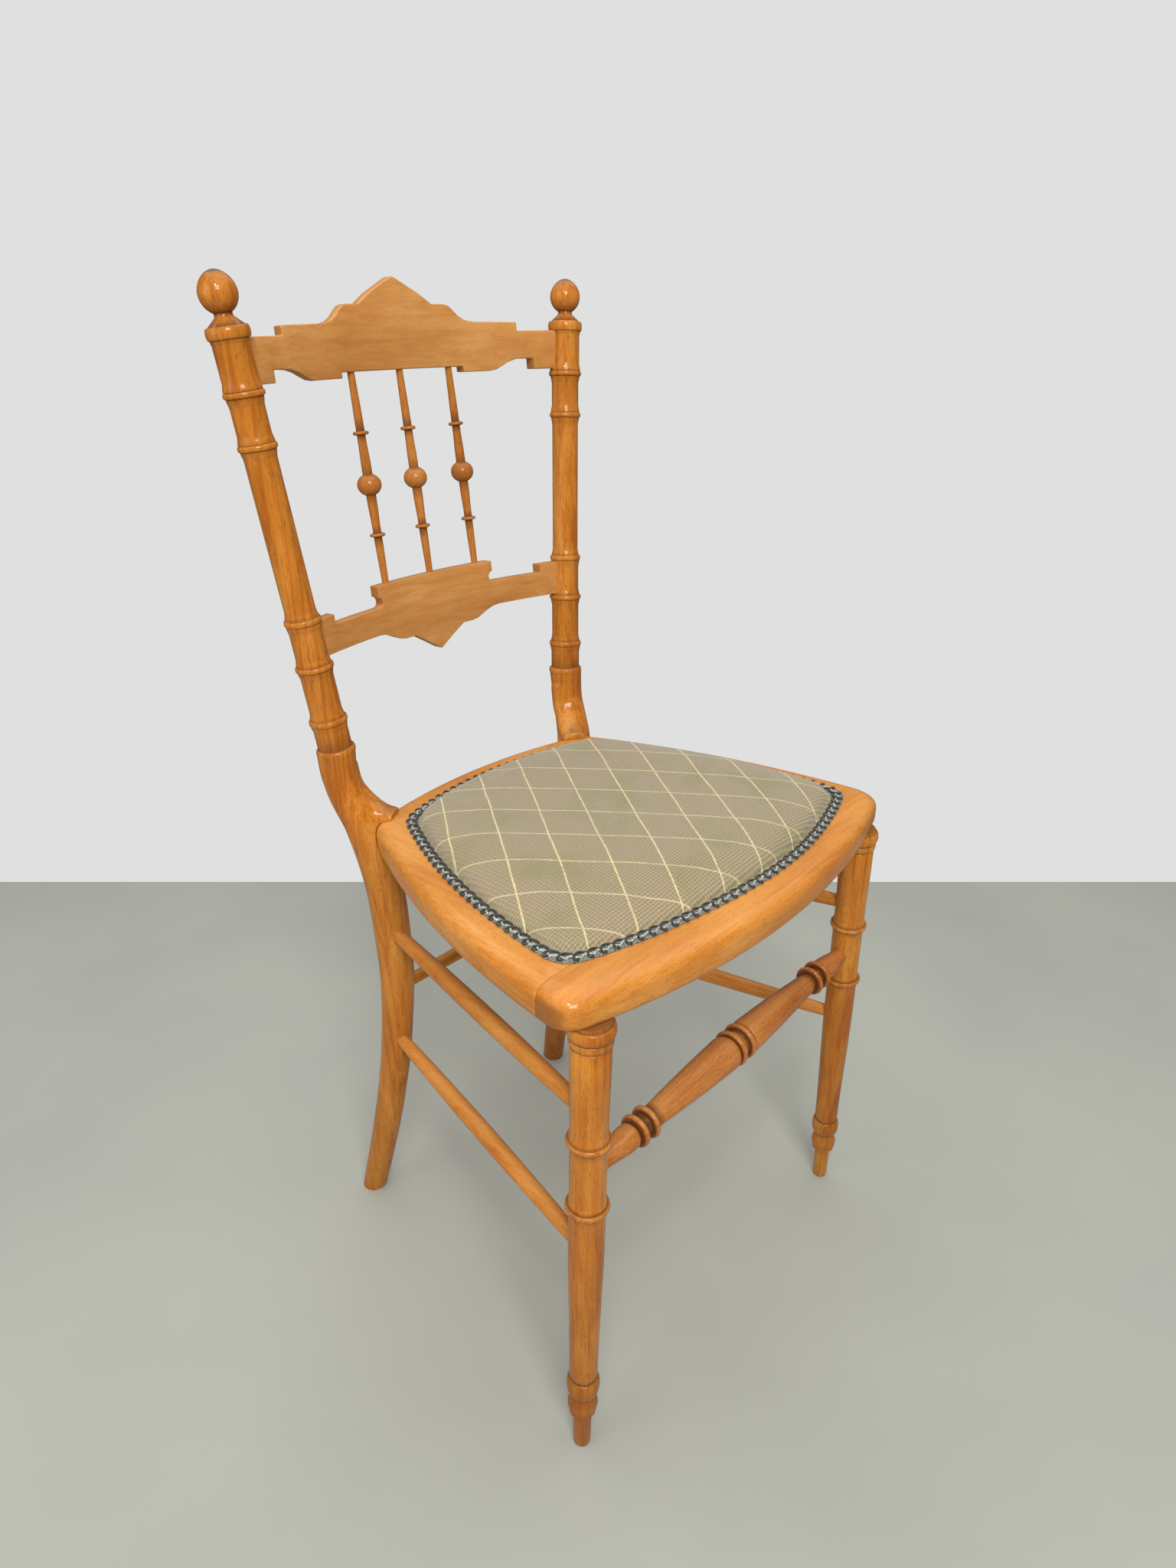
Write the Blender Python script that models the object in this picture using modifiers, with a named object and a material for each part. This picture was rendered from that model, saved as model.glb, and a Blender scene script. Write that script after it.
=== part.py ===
"""Bamboo-turned side chair with an upholstered seat, built from its separate wooden pieces.

Metres, +Z up, the chair faces -Y. "Left" is -X, as seen by someone facing the chair.
"""
import math

import bmesh
import bpy
from mathutils import Matrix, Vector

# Fits
CLEARANCE = 0.0003

# Seat frame
SEAT_TOP = 0.451
SEAT_THICKNESS = 0.0305
SEAT_EDGE_ROUND = 0.011
SEAT_RAIL_WIDTH = 0.052
SEAT_FRONT_BOW = 0.035
SEAT_SIDE_BOW = 0.015
SEAT_REAR_BOW = 0.0185
FRONT_CORNER_ROUND = 0.019
REAR_CORNER_ROUND = 0.014
OPENING_CORNER_ROUND = 0.018
FRONT_CORNER_MARGIN = 0.0290
FRONT_CORNER_SETBACK = 0.002
REAR_CORNER_INSET = 0.0094
REAR_CORNER_SETBACK = 0.0288
FRONT_JOINT_BEHIND_LEG = 0.025
REAR_JOINT_FROM_CORNER = 0.045

# Front legs: the axis where it meets the seat, and its splay down to the floor
FRONT_LEG_X = 0.1797
FRONT_LEG_Y = -0.1765
FRONT_LEG_SPLAY = 0.0262
LEG_TOP_RADIUS = 0.0145
LEG_SHAFT_RADIUS = 0.0137
LEG_ANKLE_RADIUS = 0.0114
LEG_RING_RADIUS = 0.0166
LEG_COLLAR_RADIUS = 0.0171
LEG_TENON_RADIUS = 0.009
LEG_TENON_LENGTH = 0.020
LEG_UPPER_RING_HEIGHT = 0.322
LEG_LOWER_RING_HEIGHT = 0.261
FOOT_RING_HEIGHT = 0.071
FOOT_RING_RADIUS = 0.0133
FOOT_BEAD_HEIGHT = 0.0475
FOOT_BEAD_RADIUS = 0.0122
FOOT_PIN_RADIUS = 0.0076
FOOT_TIP_RADIUS = 0.0070
FOOT_BEAD_HALF = 0.006
FOOT_COVE = 0.001
ANKLE_COVE = 0.008
LEG_COLLAR_HALF = 0.0045
LEG_COLLAR_STEP = 0.0008
LEG_SOCKET_START = 0.004

# Rear posts: the shoulder above the seat, the straight turned part above it, the bent leg below it
POST_X = 0.1404
POST_Y = 0.1453
POST_SPLAY = 0.098
POST_RAKE = 0.0797
SHOULDER_RISE = 0.061
POST_RADIUS = 0.0162
FOOT_IN = 0.0024
FOOT_BACK = 0.0257
REAR_FOOT_RADIUS = 0.0122
SHIN_HEIGHT = 0.121
SHIN_IN = 0.0160
SHIN_FORWARD = 0.0013
SHIN_RADIUS = 0.0140
CALF_HEIGHT = 0.223
CALF_IN = 0.0228
CALF_FORWARD = 0.0165
CALF_RADIUS = 0.0150
WAIST_HEIGHT = 0.316
WAIST_IN = 0.0234
WAIST_FORWARD = 0.0224
WAIST_RADIUS = 0.0165
KNEE_IN = 0.0095
KNEE_FORWARD = 0.0205
KNEE_RADIUS = 0.0172
BEND_RISE = 0.031
BEND_IN = 0.0002
BEND_FORWARD = 0.0030
BEND_RADIUS = 0.0148

# Tongue of each rear post, which laps onto the seat's corner: where it points, and its course out of the
# post as (reach, rise over the seat, radius)
LIP_IN = 0.52
LIP_FORWARD = 0.85
LIP_STATIONS = ((-0.003, 0.044, 0.0112), (0.0018, 0.0235, 0.0108), (0.0099, 0.0133, 0.0101),
                (0.0194, 0.0044, 0.0101), (0.0280, -0.0005, 0.0098), (0.0385, -0.0030, 0.0097))

# Turned part of the rear posts, heights above the shoulder
POST_RING_HEIGHTS = (0.025, 0.071, 0.109, 0.240, 0.276)
POST_RING_RADII = (0.0158, 0.0155, 0.0148, 0.0146, 0.0151)
POST_SHAFT_RADII = (0.0138, 0.0130, 0.0130, 0.0118, 0.0118, 0.0130)
POST_COLLAR_ABOVE_RING = 0.040
POST_COLLAR_RADIUS = 0.0153
POST_NECK_RADIUS = 0.0068
FINIAL_ABOVE_COLLAR = 0.0248
FINIAL_RADIUS = 0.0136
POST_SPIGOT = 0.012
POST_COLLAR_HALF = 0.005
POST_NECK_FLARE = 0.002
POST_NECK_RISE = 0.004

# Bamboo rings on the turned pieces
RING_HALF_WIDTH = 0.0028
RING_FLARE_LENGTH = 0.0065
RING_FLARE_RISE = 0.0010

# Back boards, bowed backwards in plan
CREST_ABOVE_RING = 0.021
CREST_BOW = 0.034
CREST_THICKNESS = 0.0105
LOWER_RAIL_ABOVE_RING = 0.0205
LOWER_RAIL_BOW = 0.0243
LOWER_RAIL_THICKNESS = 0.0105
CREST_UNDERSIDE = -0.012
LOWER_BLOCK_TOP = 0.0255

# Right halves of the boards' outlines as (x, height) from the middle of their ends
CREST_GABLE = ((0.0, 0.058), (0.025, 0.0457), (0.038, 0.0375), (0.053, 0.0375))
CREST_COVE_CENTRE = (0.0735, 0.0375)
CREST_COVE_RADIUS = 0.0125
CREST_SHOULDER = ((0.121, 0.023), (0.121, 0.016))
CREST_STEP = ((0.135, -0.016), (0.135, -0.007), (0.122, -0.007), (0.110, -0.0095), (0.100, -0.0145),
              (0.092, -0.0165), (0.064, -0.0165))
LOWER_BLOCK_X = 0.066
LOWER_BLOCK_NOTCH = ((0.066, 0.0145), (0.062, 0.012), (0.0625, 0.0085), (0.066, 0.0067))
LOWER_ARM_TOP = ((0.119, 0.0067), (0.119, 0.0150))
LOWER_APRON = ((0.070, -0.0155), (0.058, -0.0185), (0.046, -0.024), (0.039, -0.0255), (0.028, -0.0255),
               (0.0, -0.0435))
BOARD_TENON_THICKNESS = 0.0065
BOARD_TENON_HEIGHT = 0.022
BOARD_TENON_ROOT = 0.024

# Spindles
SPINDLE_SPACING = 0.0515
SPINDLE_END_RADIUS = 0.0027
SPINDLE_WAIST_RADIUS = 0.0040
SPINDLE_BALL_RADIUS = 0.0100
SPINDLE_DISC_RADIUS = 0.0064
SPINDLE_DISC_SPACING = 0.041
SPINDLE_TENON = 0.007
SPINDLE_BALL_DROP = 0.003
SPINDLE_DISC_HALF = 0.0016

# Stretchers
UPPER_STRETCHER_FRONT = 0.344
UPPER_STRETCHER_REAR = 0.333
LOWER_STRETCHER_FRONT = 0.2153
LOWER_STRETCHER_REAR = 0.2088
SIDE_STRETCHER_RADIUS = 0.0076
SIDE_STRETCHER_END_RADIUS = 0.0053
REAR_STRETCHER_HEIGHT = 0.263
REAR_STRETCHER_RADIUS = 0.0066
REAR_STRETCHER_END_RADIUS = 0.0052
FRONT_STRETCHER_HEIGHT = 0.2915
FRONT_STRETCHER_GROUP_X = 0.124
FRONT_STRETCHER_END_RADIUS = 0.0066
FRONT_STRETCHER_BALUSTER_END = 0.0090
FRONT_STRETCHER_BALUSTER_MIDDLE = 0.0147
FRONT_STRETCHER_RING_RADIUS = 0.0134
FRONT_STRETCHER_MIDDLE_RING = 0.0158
FRONT_STRETCHER_RING_PITCH = 0.0125
FRONT_STRETCHER_NECK = 0.86
FRONT_STRETCHER_SHOULDER = 0.010
FRONT_STRETCHER_BULB = 0.0104
FRONT_STRETCHER_RING_IN = 0.0035
FRONT_STRETCHER_RING_OUT = 0.0015
FRONT_STRETCHER_RING_FALL = 0.004
FRONT_STRETCHER_END_FLARE = 0.012

# Dowels and screws
DOWEL_RADIUS = 0.004
DOWEL_SPACING = 0.018
DOWEL_SHORT_HALF = 0.012
DOWEL_LONG_HALF = 0.020
SCREW_RADIUS = 0.0022
SCREW_HEAD_RADIUS = 0.0042
SCREW_HEAD_HEIGHT = 0.003
SCREW_LENGTH = 0.046

# Upholstery
GIMP_MARGIN = 0.0200
GIMP_WIDTH = 0.0108
GIMP_THICKNESS = 0.0024
COVER_TURN_IN = 0.003
COVER_THICKNESS = 0.0010
BASE_CLOTH_THICKNESS = 0.0006
WEBBING_THICKNESS = 0.0009
WEBBING_WIDTH = 0.042
WEBBING_PITCH = 0.062
WEBBING_END_MARGIN = 0.034
CROWN = 0.0175
CROWN_FALL = 12.0
CROWN_ROUND = 0.45

# Resolution
POST_SIDES = 12
SPINDLE_SIDES = 10
DOWEL_SIDES = 10

# Sizes that follow from the ones above
SEAT_BOTTOM = SEAT_TOP - SEAT_THICKNESS
SEAT_MIDDLE = SEAT_TOP - SEAT_THICKNESS / 2
SHOULDER_HEIGHT = SEAT_TOP + SHOULDER_RISE
FRONT_CORNER = Vector((FRONT_LEG_X + FRONT_CORNER_MARGIN, FRONT_LEG_Y - FRONT_CORNER_SETBACK))
REAR_CORNER = Vector((POST_X - REAR_CORNER_INSET, POST_Y - REAR_CORNER_SETBACK))
FRONT_JOINT_Y = FRONT_LEG_Y + FRONT_JOINT_BEHIND_LEG
REAR_JOINT_X = REAR_CORNER.x - REAR_JOINT_FROM_CORNER
POST_COLLAR_HEIGHT = POST_RING_HEIGHTS[-1] + POST_COLLAR_ABOVE_RING
FINIAL_HEIGHT = POST_COLLAR_HEIGHT + FINIAL_ABOVE_COLLAR
CREST_HEIGHT = POST_RING_HEIGHTS[-1] + CREST_ABOVE_RING
LOWER_RAIL_HEIGHT = POST_RING_HEIGHTS[1] + LOWER_RAIL_ABOVE_RING
REBATE_MARGIN = GIMP_MARGIN + COVER_TURN_IN - CLEARANCE
LAYERS = 2 * WEBBING_THICKNESS + BASE_CLOTH_THICKNESS + COVER_THICKNESS
REBATE_FLOOR = SEAT_TOP - LAYERS - 4 * CLEARANCE
SEAT_CENTRE_Y = (FRONT_CORNER.y + REAR_CORNER.y) / 2

# Linear colours and roughness of the finishes
WOOD = ((0.50, 0.185, 0.045), 0.30)
PALE_WOOD = ((0.55, 0.33, 0.16), 0.60)
CLOTH = ((0.33, 0.29, 0.18), 0.90)
BRAID = ((0.045, 0.055, 0.055), 0.85)
JUTE = ((0.36, 0.25, 0.13), 0.95)
FIBRE = ((0.16, 0.12, 0.08), 0.95)
STEEL = ((0.40, 0.39, 0.37), 0.40)

for old in list(bpy.data.objects):
    bpy.data.objects.remove(old)

chair = bpy.data.collections.new("side_chair")
cutters = bpy.data.collections.new("cutters")
bpy.context.scene.collection.children.link(chair)
bpy.context.scene.collection.children.link(cutters)
stand = bpy.data.objects.new("chair_stand", None)
chair.objects.link(stand)


def add_part(name, mesh, finish, placement=Matrix(), metallic=0.0, smooth=True):
    """One sub-part with its own material, parented to the chair's empty."""
    part = bpy.data.objects.new(name, mesh)
    part.matrix_world = placement
    part.parent = stand
    chair.objects.link(part)
    material = bpy.data.materials.new(name)
    material.use_nodes = True
    shader = material.node_tree.nodes["Principled BSDF"]
    shader.inputs["Base Color"].default_value = (*finish[0], 1.0)
    shader.inputs["Roughness"].default_value = finish[1]
    shader.inputs["Metallic"].default_value = metallic
    mesh.materials.append(material)
    if smooth:
        mesh.shade_smooth()
        mesh.set_sharp_from_angle(angle=math.radians(35))
    return part


def add_cutter(name, mesh, placement=Matrix()):
    """A guide solid that only shapes other pieces."""
    cutter = bpy.data.objects.new(name, mesh)
    cutter.matrix_world = placement
    cutter.hide_render = True
    cutter.display_type = "WIRE"
    cutters.objects.link(cutter)
    return cutter


def shape(part, tool, operation="DIFFERENCE"):
    """Cut, join or trim a piece with another solid."""
    modifier = part.modifiers.new(tool.name, "BOOLEAN")
    modifier.operation = operation
    modifier.solver = "EXACT"
    modifier.object = tool


def along(start, end):
    """Placement whose local Z runs from start towards end."""
    direction = (end - start).normalized()
    turn = direction.to_track_quat("Z", "Y").to_matrix().to_4x4()
    return Matrix.Translation(start) @ turn


def mirrored(point, side):
    return Vector((point.x * side, point.y, point.z))


def cylinder_mesh(name, radius, length, sides):
    """A rod standing on its local origin."""
    mesh = bpy.data.meshes.new(name)
    form = bmesh.new()
    bmesh.ops.create_cone(
        form, cap_ends=True, segments=sides, radius1=radius, radius2=radius, depth=length,
        matrix=Matrix.Translation((0, 0, length / 2)))
    form.to_mesh(mesh)
    form.free()
    return mesh


def box_mesh(name, size, centre=Vector()):
    mesh = bpy.data.meshes.new(name)
    form = bmesh.new()
    bmesh.ops.create_cube(form, size=1.0, matrix=Matrix.Translation(centre) @ Matrix.Diagonal((*size, 1.0)))
    form.to_mesh(mesh)
    form.free()
    return mesh


def hole(name, start, end, radius, sides=POST_SIDES):
    """A round cutter from start to end, a clearance wider than what goes in it."""
    length = (end - start).length
    return add_cutter(name, cylinder_mesh(name, radius + CLEARANCE, length, sides), along(start, end))


def welded_mesh(holder):
    """The evaluated mesh of a curve, its caps welded on, and the curve removed."""
    bpy.context.view_layer.update()
    graph = bpy.context.evaluated_depsgraph_get()
    mesh = bpy.data.meshes.new_from_object(holder.evaluated_get(graph))
    form = bmesh.new()
    form.from_mesh(mesh)
    bmesh.ops.remove_doubles(form, verts=form.verts, dist=0.00001)
    bmesh.ops.recalc_face_normals(form, faces=form.faces)
    form.to_mesh(mesh)
    form.free()
    bpy.data.objects.remove(holder)
    return mesh


def flat_mesh(name, points, low, high):
    """A flat outline in X and Y, filled and extruded from one height to another."""
    curve = bpy.data.curves.new(name, "CURVE")
    curve.dimensions = "2D"
    curve.fill_mode = "BOTH"
    curve.extrude = (high - low) / 2
    spline = curve.splines.new("POLY")
    spline.points.add(len(points) - 1)
    spline.use_cyclic_u = True
    for corner, (x, y) in zip(spline.points, points):
        corner.co = (x, y, 0, 1)
    holder = bpy.data.objects.new(name, curve)
    cutters.objects.link(holder)
    mesh = welded_mesh(holder)
    mesh.transform(Matrix.Translation((0, 0, (low + high) / 2)))
    return mesh


def bent_mesh(name, stations, sides, steps):
    """A round bar on a smooth curve through (point, radius) stations."""
    curve = bpy.data.curves.new(name, "CURVE")
    curve.dimensions = "3D"
    curve.bevel_depth = 1.0
    curve.bevel_resolution = (sides - 4) // 2
    curve.use_fill_caps = True
    curve.resolution_u = steps
    spline = curve.splines.new("BEZIER")
    spline.bezier_points.add(len(stations) - 1)
    for knot, (point, radius) in zip(spline.bezier_points, stations):
        knot.co = point
        knot.radius = radius
        knot.handle_left_type = "AUTO"
        knot.handle_right_type = "AUTO"
    holder = bpy.data.objects.new(name, curve)
    cutters.objects.link(holder)
    return welded_mesh(holder)


def turned_mesh(name, profile):
    """The half outline of a turned piece, given from its bottom to its top as (radius, height)."""
    mesh = bpy.data.meshes.new(name)
    points = [(0.0, profile[0][1])] + list(profile) + [(0.0, profile[-1][1])]
    points.reverse()
    edges = [(index, index + 1) for index in range(len(points) - 1)]
    mesh.from_pydata([(radius, 0.0, height) for radius, height in points], edges, [])
    return mesh


def turn(part, sides):
    """Spin a half outline about its own Z."""
    screw = part.modifiers.new("Turning", "SCREW")
    screw.axis = "Z"
    screw.angle = math.tau
    screw.steps = sides
    screw.render_steps = sides
    screw.use_merge_vertices = True
    screw.merge_threshold = 0.00002
    screw.use_smooth_shade = True


def ring(height, radius, below, above):
    """A bamboo ring: the shaft flares up to a narrow band and falls away again."""
    half = RING_HALF_WIDTH
    return [
        (below, height - half - RING_FLARE_LENGTH),
        (below + RING_FLARE_RISE, height - half),
        (radius, height - half * 0.7),
        (radius, height + half * 0.7),
        (above + RING_FLARE_RISE, height + half),
        (above, height + half + RING_FLARE_LENGTH),
    ]


def bead(height, radius, half, root):
    """A rounded bead between two coves of the root radius."""
    middle = (radius + root) / 2
    return [(root, height - half), (middle, height - half * 0.8), (radius, height - half * 0.35),
            (radius, height + half * 0.35), (middle, height + half * 0.8), (root, height + half)]


# Axes that other pieces are set from
def leg_point(height):
    """Axis of the right front leg at a height above the floor."""
    return Vector((FRONT_LEG_X + FRONT_LEG_SPLAY * (SEAT_BOTTOM - height), FRONT_LEG_Y, height))


def post_point(rise):
    """Axis of the right rear post at a rise above its shoulder."""
    return Vector((POST_X + POST_SPLAY * rise, POST_Y + POST_RAKE * rise, SHOULDER_HEIGHT + rise))


def rear_leg_stations():
    """The bent part of the right rear post, from the floor to the shoulder."""
    def at(height, inward, forward, radius):
        return Vector((POST_X - inward, POST_Y - forward, height)), radius
    below_floor = 2 * REAR_FOOT_RADIUS * abs(FOOT_BACK) / SHIN_HEIGHT
    return [
        at(-below_floor, FOOT_IN, -FOOT_BACK, REAR_FOOT_RADIUS),
        at(SHIN_HEIGHT, SHIN_IN, SHIN_FORWARD, SHIN_RADIUS),
        at(CALF_HEIGHT, CALF_IN, CALF_FORWARD, CALF_RADIUS),
        at(WAIST_HEIGHT, WAIST_IN, WAIST_FORWARD, WAIST_RADIUS),
        at(SEAT_MIDDLE, KNEE_IN, KNEE_FORWARD, KNEE_RADIUS),
        at(SEAT_TOP + BEND_RISE, BEND_IN, BEND_FORWARD, BEND_RADIUS),
        (post_point(0.0), POST_RADIUS),
    ]


def leg_axis_point(stations, height):
    """Point at a height on the straight-line chain between two stations of the bent leg."""
    for (low, _), (high, _) in zip(stations, stations[1:]):
        if low.z <= height <= high.z:
            return low.lerp(high, (height - low.z) / (high.z - low.z))
    return stations[-1][0]


# Seat outlines
def shifted_corner(corner, before, after, inset):
    """The corner where two sides meet once both move inwards."""
    first = (corner - before).normalized()
    second = (after - corner).normalized()
    first_out = Vector((first.y, -first.x))
    second_out = Vector((second.y, -second.x))
    bend = 1 + first_out.dot(second_out)
    return corner - (first_out + second_out) * (inset / bend)


def seat_outline(inset, front_round=FRONT_CORNER_ROUND, rear_round=REAR_CORNER_ROUND):
    """The bow-sided seat, moved inwards by the inset, anticlockwise from the front left."""
    corners = [Vector((-FRONT_CORNER.x, FRONT_CORNER.y)), FRONT_CORNER.copy(),
               REAR_CORNER.copy(), Vector((-REAR_CORNER.x, REAR_CORNER.y))]
    moved = [shifted_corner(corners[i], corners[i - 1], corners[(i + 1) % 4], inset) for i in range(4)]
    rounds = (front_round, front_round, rear_round, rear_round)
    bows = (SEAT_FRONT_BOW, SEAT_SIDE_BOW, SEAT_REAR_BOW, SEAT_SIDE_BOW)
    counts = (7, 6, 6, 6)
    sides = []
    for i in range(4):
        start, end = moved[i], moved[(i + 1) % 4]
        chord = end - start
        outward = Vector((chord.y, -chord.x)).normalized()
        first = rounds[i] / chord.length
        last = 1 - rounds[(i + 1) % 4] / chord.length
        side = []
        for step in range(counts[i] + 1):
            t = first + (last - first) * step / counts[i]
            side.append(start + chord * t + outward * (4 * bows[i] * t * (1 - t)))
        sides.append(side)
    points = []
    for i in range(4):
        points += sides[i]
        start, end = sides[i][-1], sides[(i + 1) % 4][0]
        leave = sides[i][-1] - sides[i][-2]
        arrive = sides[(i + 1) % 4][1] - end
        across = leave.x * arrive.y - leave.y * arrive.x
        reach = ((end - start).x * arrive.y - (end - start).y * arrive.x) / across
        peak = start + leave * reach
        for step in range(1, 4):
            t = step / 4
            points.append(start * (1 - t) ** 2 + peak * (2 * t * (1 - t)) + end * t ** 2)
    return points


def scaled_outline(points, factor):
    """An outline shrunk towards the middle of the seat."""
    centre = Vector((0.0, SEAT_CENTRE_Y))
    return [centre + (point - centre) * factor for point in points]


def loft_mesh(name, rings, closed_section=False):
    """A closed body through outlines at heights; open sections end in a fan at each end's middle."""
    mesh = bpy.data.meshes.new(name)
    form = bmesh.new()
    loops = [[form.verts.new((p.x, p.y, height)) for p in points] for points, height in rings]
    pairs = list(zip(loops, loops[1:]))
    if closed_section:
        pairs.append((loops[-1], loops[0]))
    count = len(loops[0])
    for lower, upper in pairs:
        for i in range(count):
            form.faces.new((lower[i], lower[(i + 1) % count], upper[(i + 1) % count], upper[i]))
    if not closed_section:
        for loop, height in ((loops[0], rings[0][1]), (loops[-1], rings[-1][1])):
            middle = form.verts.new((0.0, SEAT_CENTRE_Y, height))
            for i in range(count):
                form.faces.new((loop[i], loop[(i + 1) % count], middle))
    bmesh.ops.recalc_face_normals(form, faces=form.faces)
    form.to_mesh(mesh)
    form.free()
    return mesh


# Front legs
def front_leg_profile():
    """Half outline along the leg's own axis, the floor at height 0."""
    tilt = LEG_COLLAR_RADIUS * FRONT_LEG_SPLAY
    shoulder = SEAT_BOTTOM - CLEARANCE - tilt
    half = LEG_COLLAR_HALF
    collar_low = shoulder - 3 * half
    pin_top = FOOT_BEAD_HEIGHT - FOOT_BEAD_HALF - FOOT_COVE
    profile = [(FOOT_TIP_RADIUS, -FOOT_TIP_RADIUS), (FOOT_PIN_RADIUS, pin_top)]
    profile += bead(FOOT_BEAD_HEIGHT, FOOT_BEAD_RADIUS, FOOT_BEAD_HALF, FOOT_PIN_RADIUS)
    profile += bead(FOOT_RING_HEIGHT, FOOT_RING_RADIUS, FOOT_BEAD_HALF, FOOT_PIN_RADIUS)[:-1]
    profile += [(LEG_ANKLE_RADIUS, FOOT_RING_HEIGHT + ANKLE_COVE)]
    profile += ring(LEG_LOWER_RING_HEIGHT, LEG_RING_RADIUS, LEG_SHAFT_RADIUS, LEG_SHAFT_RADIUS)
    profile += ring(LEG_UPPER_RING_HEIGHT, LEG_RING_RADIUS, LEG_SHAFT_RADIUS, LEG_SHAFT_RADIUS)
    profile += bead(collar_low, LEG_COLLAR_RADIUS - LEG_COLLAR_STEP, half, LEG_TOP_RADIUS)
    profile += bead(shoulder - half, LEG_COLLAR_RADIUS, half, LEG_TOP_RADIUS)[1:]
    profile += [(LEG_TENON_RADIUS, shoulder), (LEG_TENON_RADIUS, SEAT_BOTTOM + LEG_TENON_LENGTH)]
    return profile


floor_cutter = add_cutter("below_floor", box_mesh(
    "below_floor", (2 * SEAT_TOP, 2 * SEAT_TOP, SEAT_TOP), Vector((0, 0, -SEAT_TOP / 2))))
leg_sockets = {}
front_legs = {}
for side, word in ((-1, "left"), (1, "right")):
    placement = along(mirrored(leg_point(0.0), side), mirrored(leg_point(SEAT_BOTTOM), side))
    name = "front_leg_" + word
    leg = add_part(name, turned_mesh(name, front_leg_profile()), WOOD, placement)
    turn(leg, POST_SIDES)
    shape(leg, floor_cutter)
    front_legs[side] = leg
    socket_top = leg_point(SEAT_BOTTOM + LEG_TENON_LENGTH + CLEARANCE)
    leg_sockets[side] = hole(
        "leg_socket_" + word, mirrored(leg_point(SEAT_BOTTOM - LEG_SOCKET_START), side),
        mirrored(socket_top, side), LEG_TENON_RADIUS)


# Seat frame, one blank split into four rails
def rounded_blank(name):
    """The seat's outline at its full thickness, with a rounded edge all round."""
    steps = 3
    low, high = [], []
    for step in range(steps + 1):
        angle = math.pi / 2 * step / steps
        points = seat_outline(SEAT_EDGE_ROUND * (1 - math.sin(angle)))
        drop = SEAT_EDGE_ROUND * (1 - math.cos(angle))
        low.append((points, SEAT_BOTTOM + drop))
        high.append((points, SEAT_TOP - drop))
    return loft_mesh(name, low + high[::-1])


opening_outline = seat_outline(SEAT_RAIL_WIDTH, OPENING_CORNER_ROUND, OPENING_CORNER_ROUND)
rebate_outline = seat_outline(REBATE_MARGIN)
opening = add_cutter("seat_opening", flat_mesh(
    "seat_opening", opening_outline, SEAT_BOTTOM - SEAT_THICKNESS, SEAT_TOP + SEAT_THICKNESS))
rebate = add_cutter("seat_rebate", flat_mesh(
    "seat_rebate", rebate_outline, REBATE_FLOOR, SEAT_TOP + SEAT_THICKNESS))
notch = add_cutter("post_notch", flat_mesh(
    "post_notch", seat_outline(-CLEARANCE), SEAT_BOTTOM - CLEARANCE, SEAT_TOP + CLEARANCE))

reach = 2 * FRONT_CORNER.x
zone_height = 4 * SEAT_THICKNESS
half_gap = CLEARANCE / 2


def zone(name, low, high):
    """A block that keeps the stretch of the seat frame that one rail takes up."""
    size = (high[0] - low[0], high[1] - low[1], zone_height)
    centre = Vector(((low[0] + high[0]) / 2, (low[1] + high[1]) / 2, SEAT_MIDDLE))
    return add_cutter(name, box_mesh(name, size, centre))


rail_zones = {
    "front": zone("front_zone", (-reach, -reach), (reach, FRONT_JOINT_Y - half_gap)),
    "rear": zone("rear_zone", (-REAR_JOINT_X + half_gap, SEAT_CENTRE_Y), (REAR_JOINT_X - half_gap, reach)),
    "left": zone("left_zone", (-reach, FRONT_JOINT_Y + half_gap), (-REAR_JOINT_X - half_gap, reach)),
    "right": zone("right_zone", (REAR_JOINT_X + half_gap, FRONT_JOINT_Y + half_gap), (reach, reach)),
}
seat_rails = {}
for word, keep in rail_zones.items():
    rail = add_part("seat_rail_" + word, rounded_blank("seat_rail_" + word), WOOD)
    shape(rail, opening)
    shape(rail, rebate)
    shape(rail, keep, "INTERSECT")
    seat_rails[word] = rail
for side in (-1, 1):
    shape(seat_rails["front"], leg_sockets[side])


# Dowels in the four corner joints of the seat frame
def add_dowel(name, centre, direction, near_half, far_half, rails):
    """A dowel across a joint, with a socket in both rails."""
    start = centre - direction * near_half
    end = centre + direction * far_half
    mesh = cylinder_mesh(name, DOWEL_RADIUS, near_half + far_half, DOWEL_SIDES)
    add_part(name, mesh, PALE_WOOD, along(start, end))
    socket = hole(name + "_socket", start - direction * CLEARANCE, end + direction * CLEARANCE,
                  DOWEL_RADIUS, DOWEL_SIDES)
    for rail in rails:
        shape(rail, socket)


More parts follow.
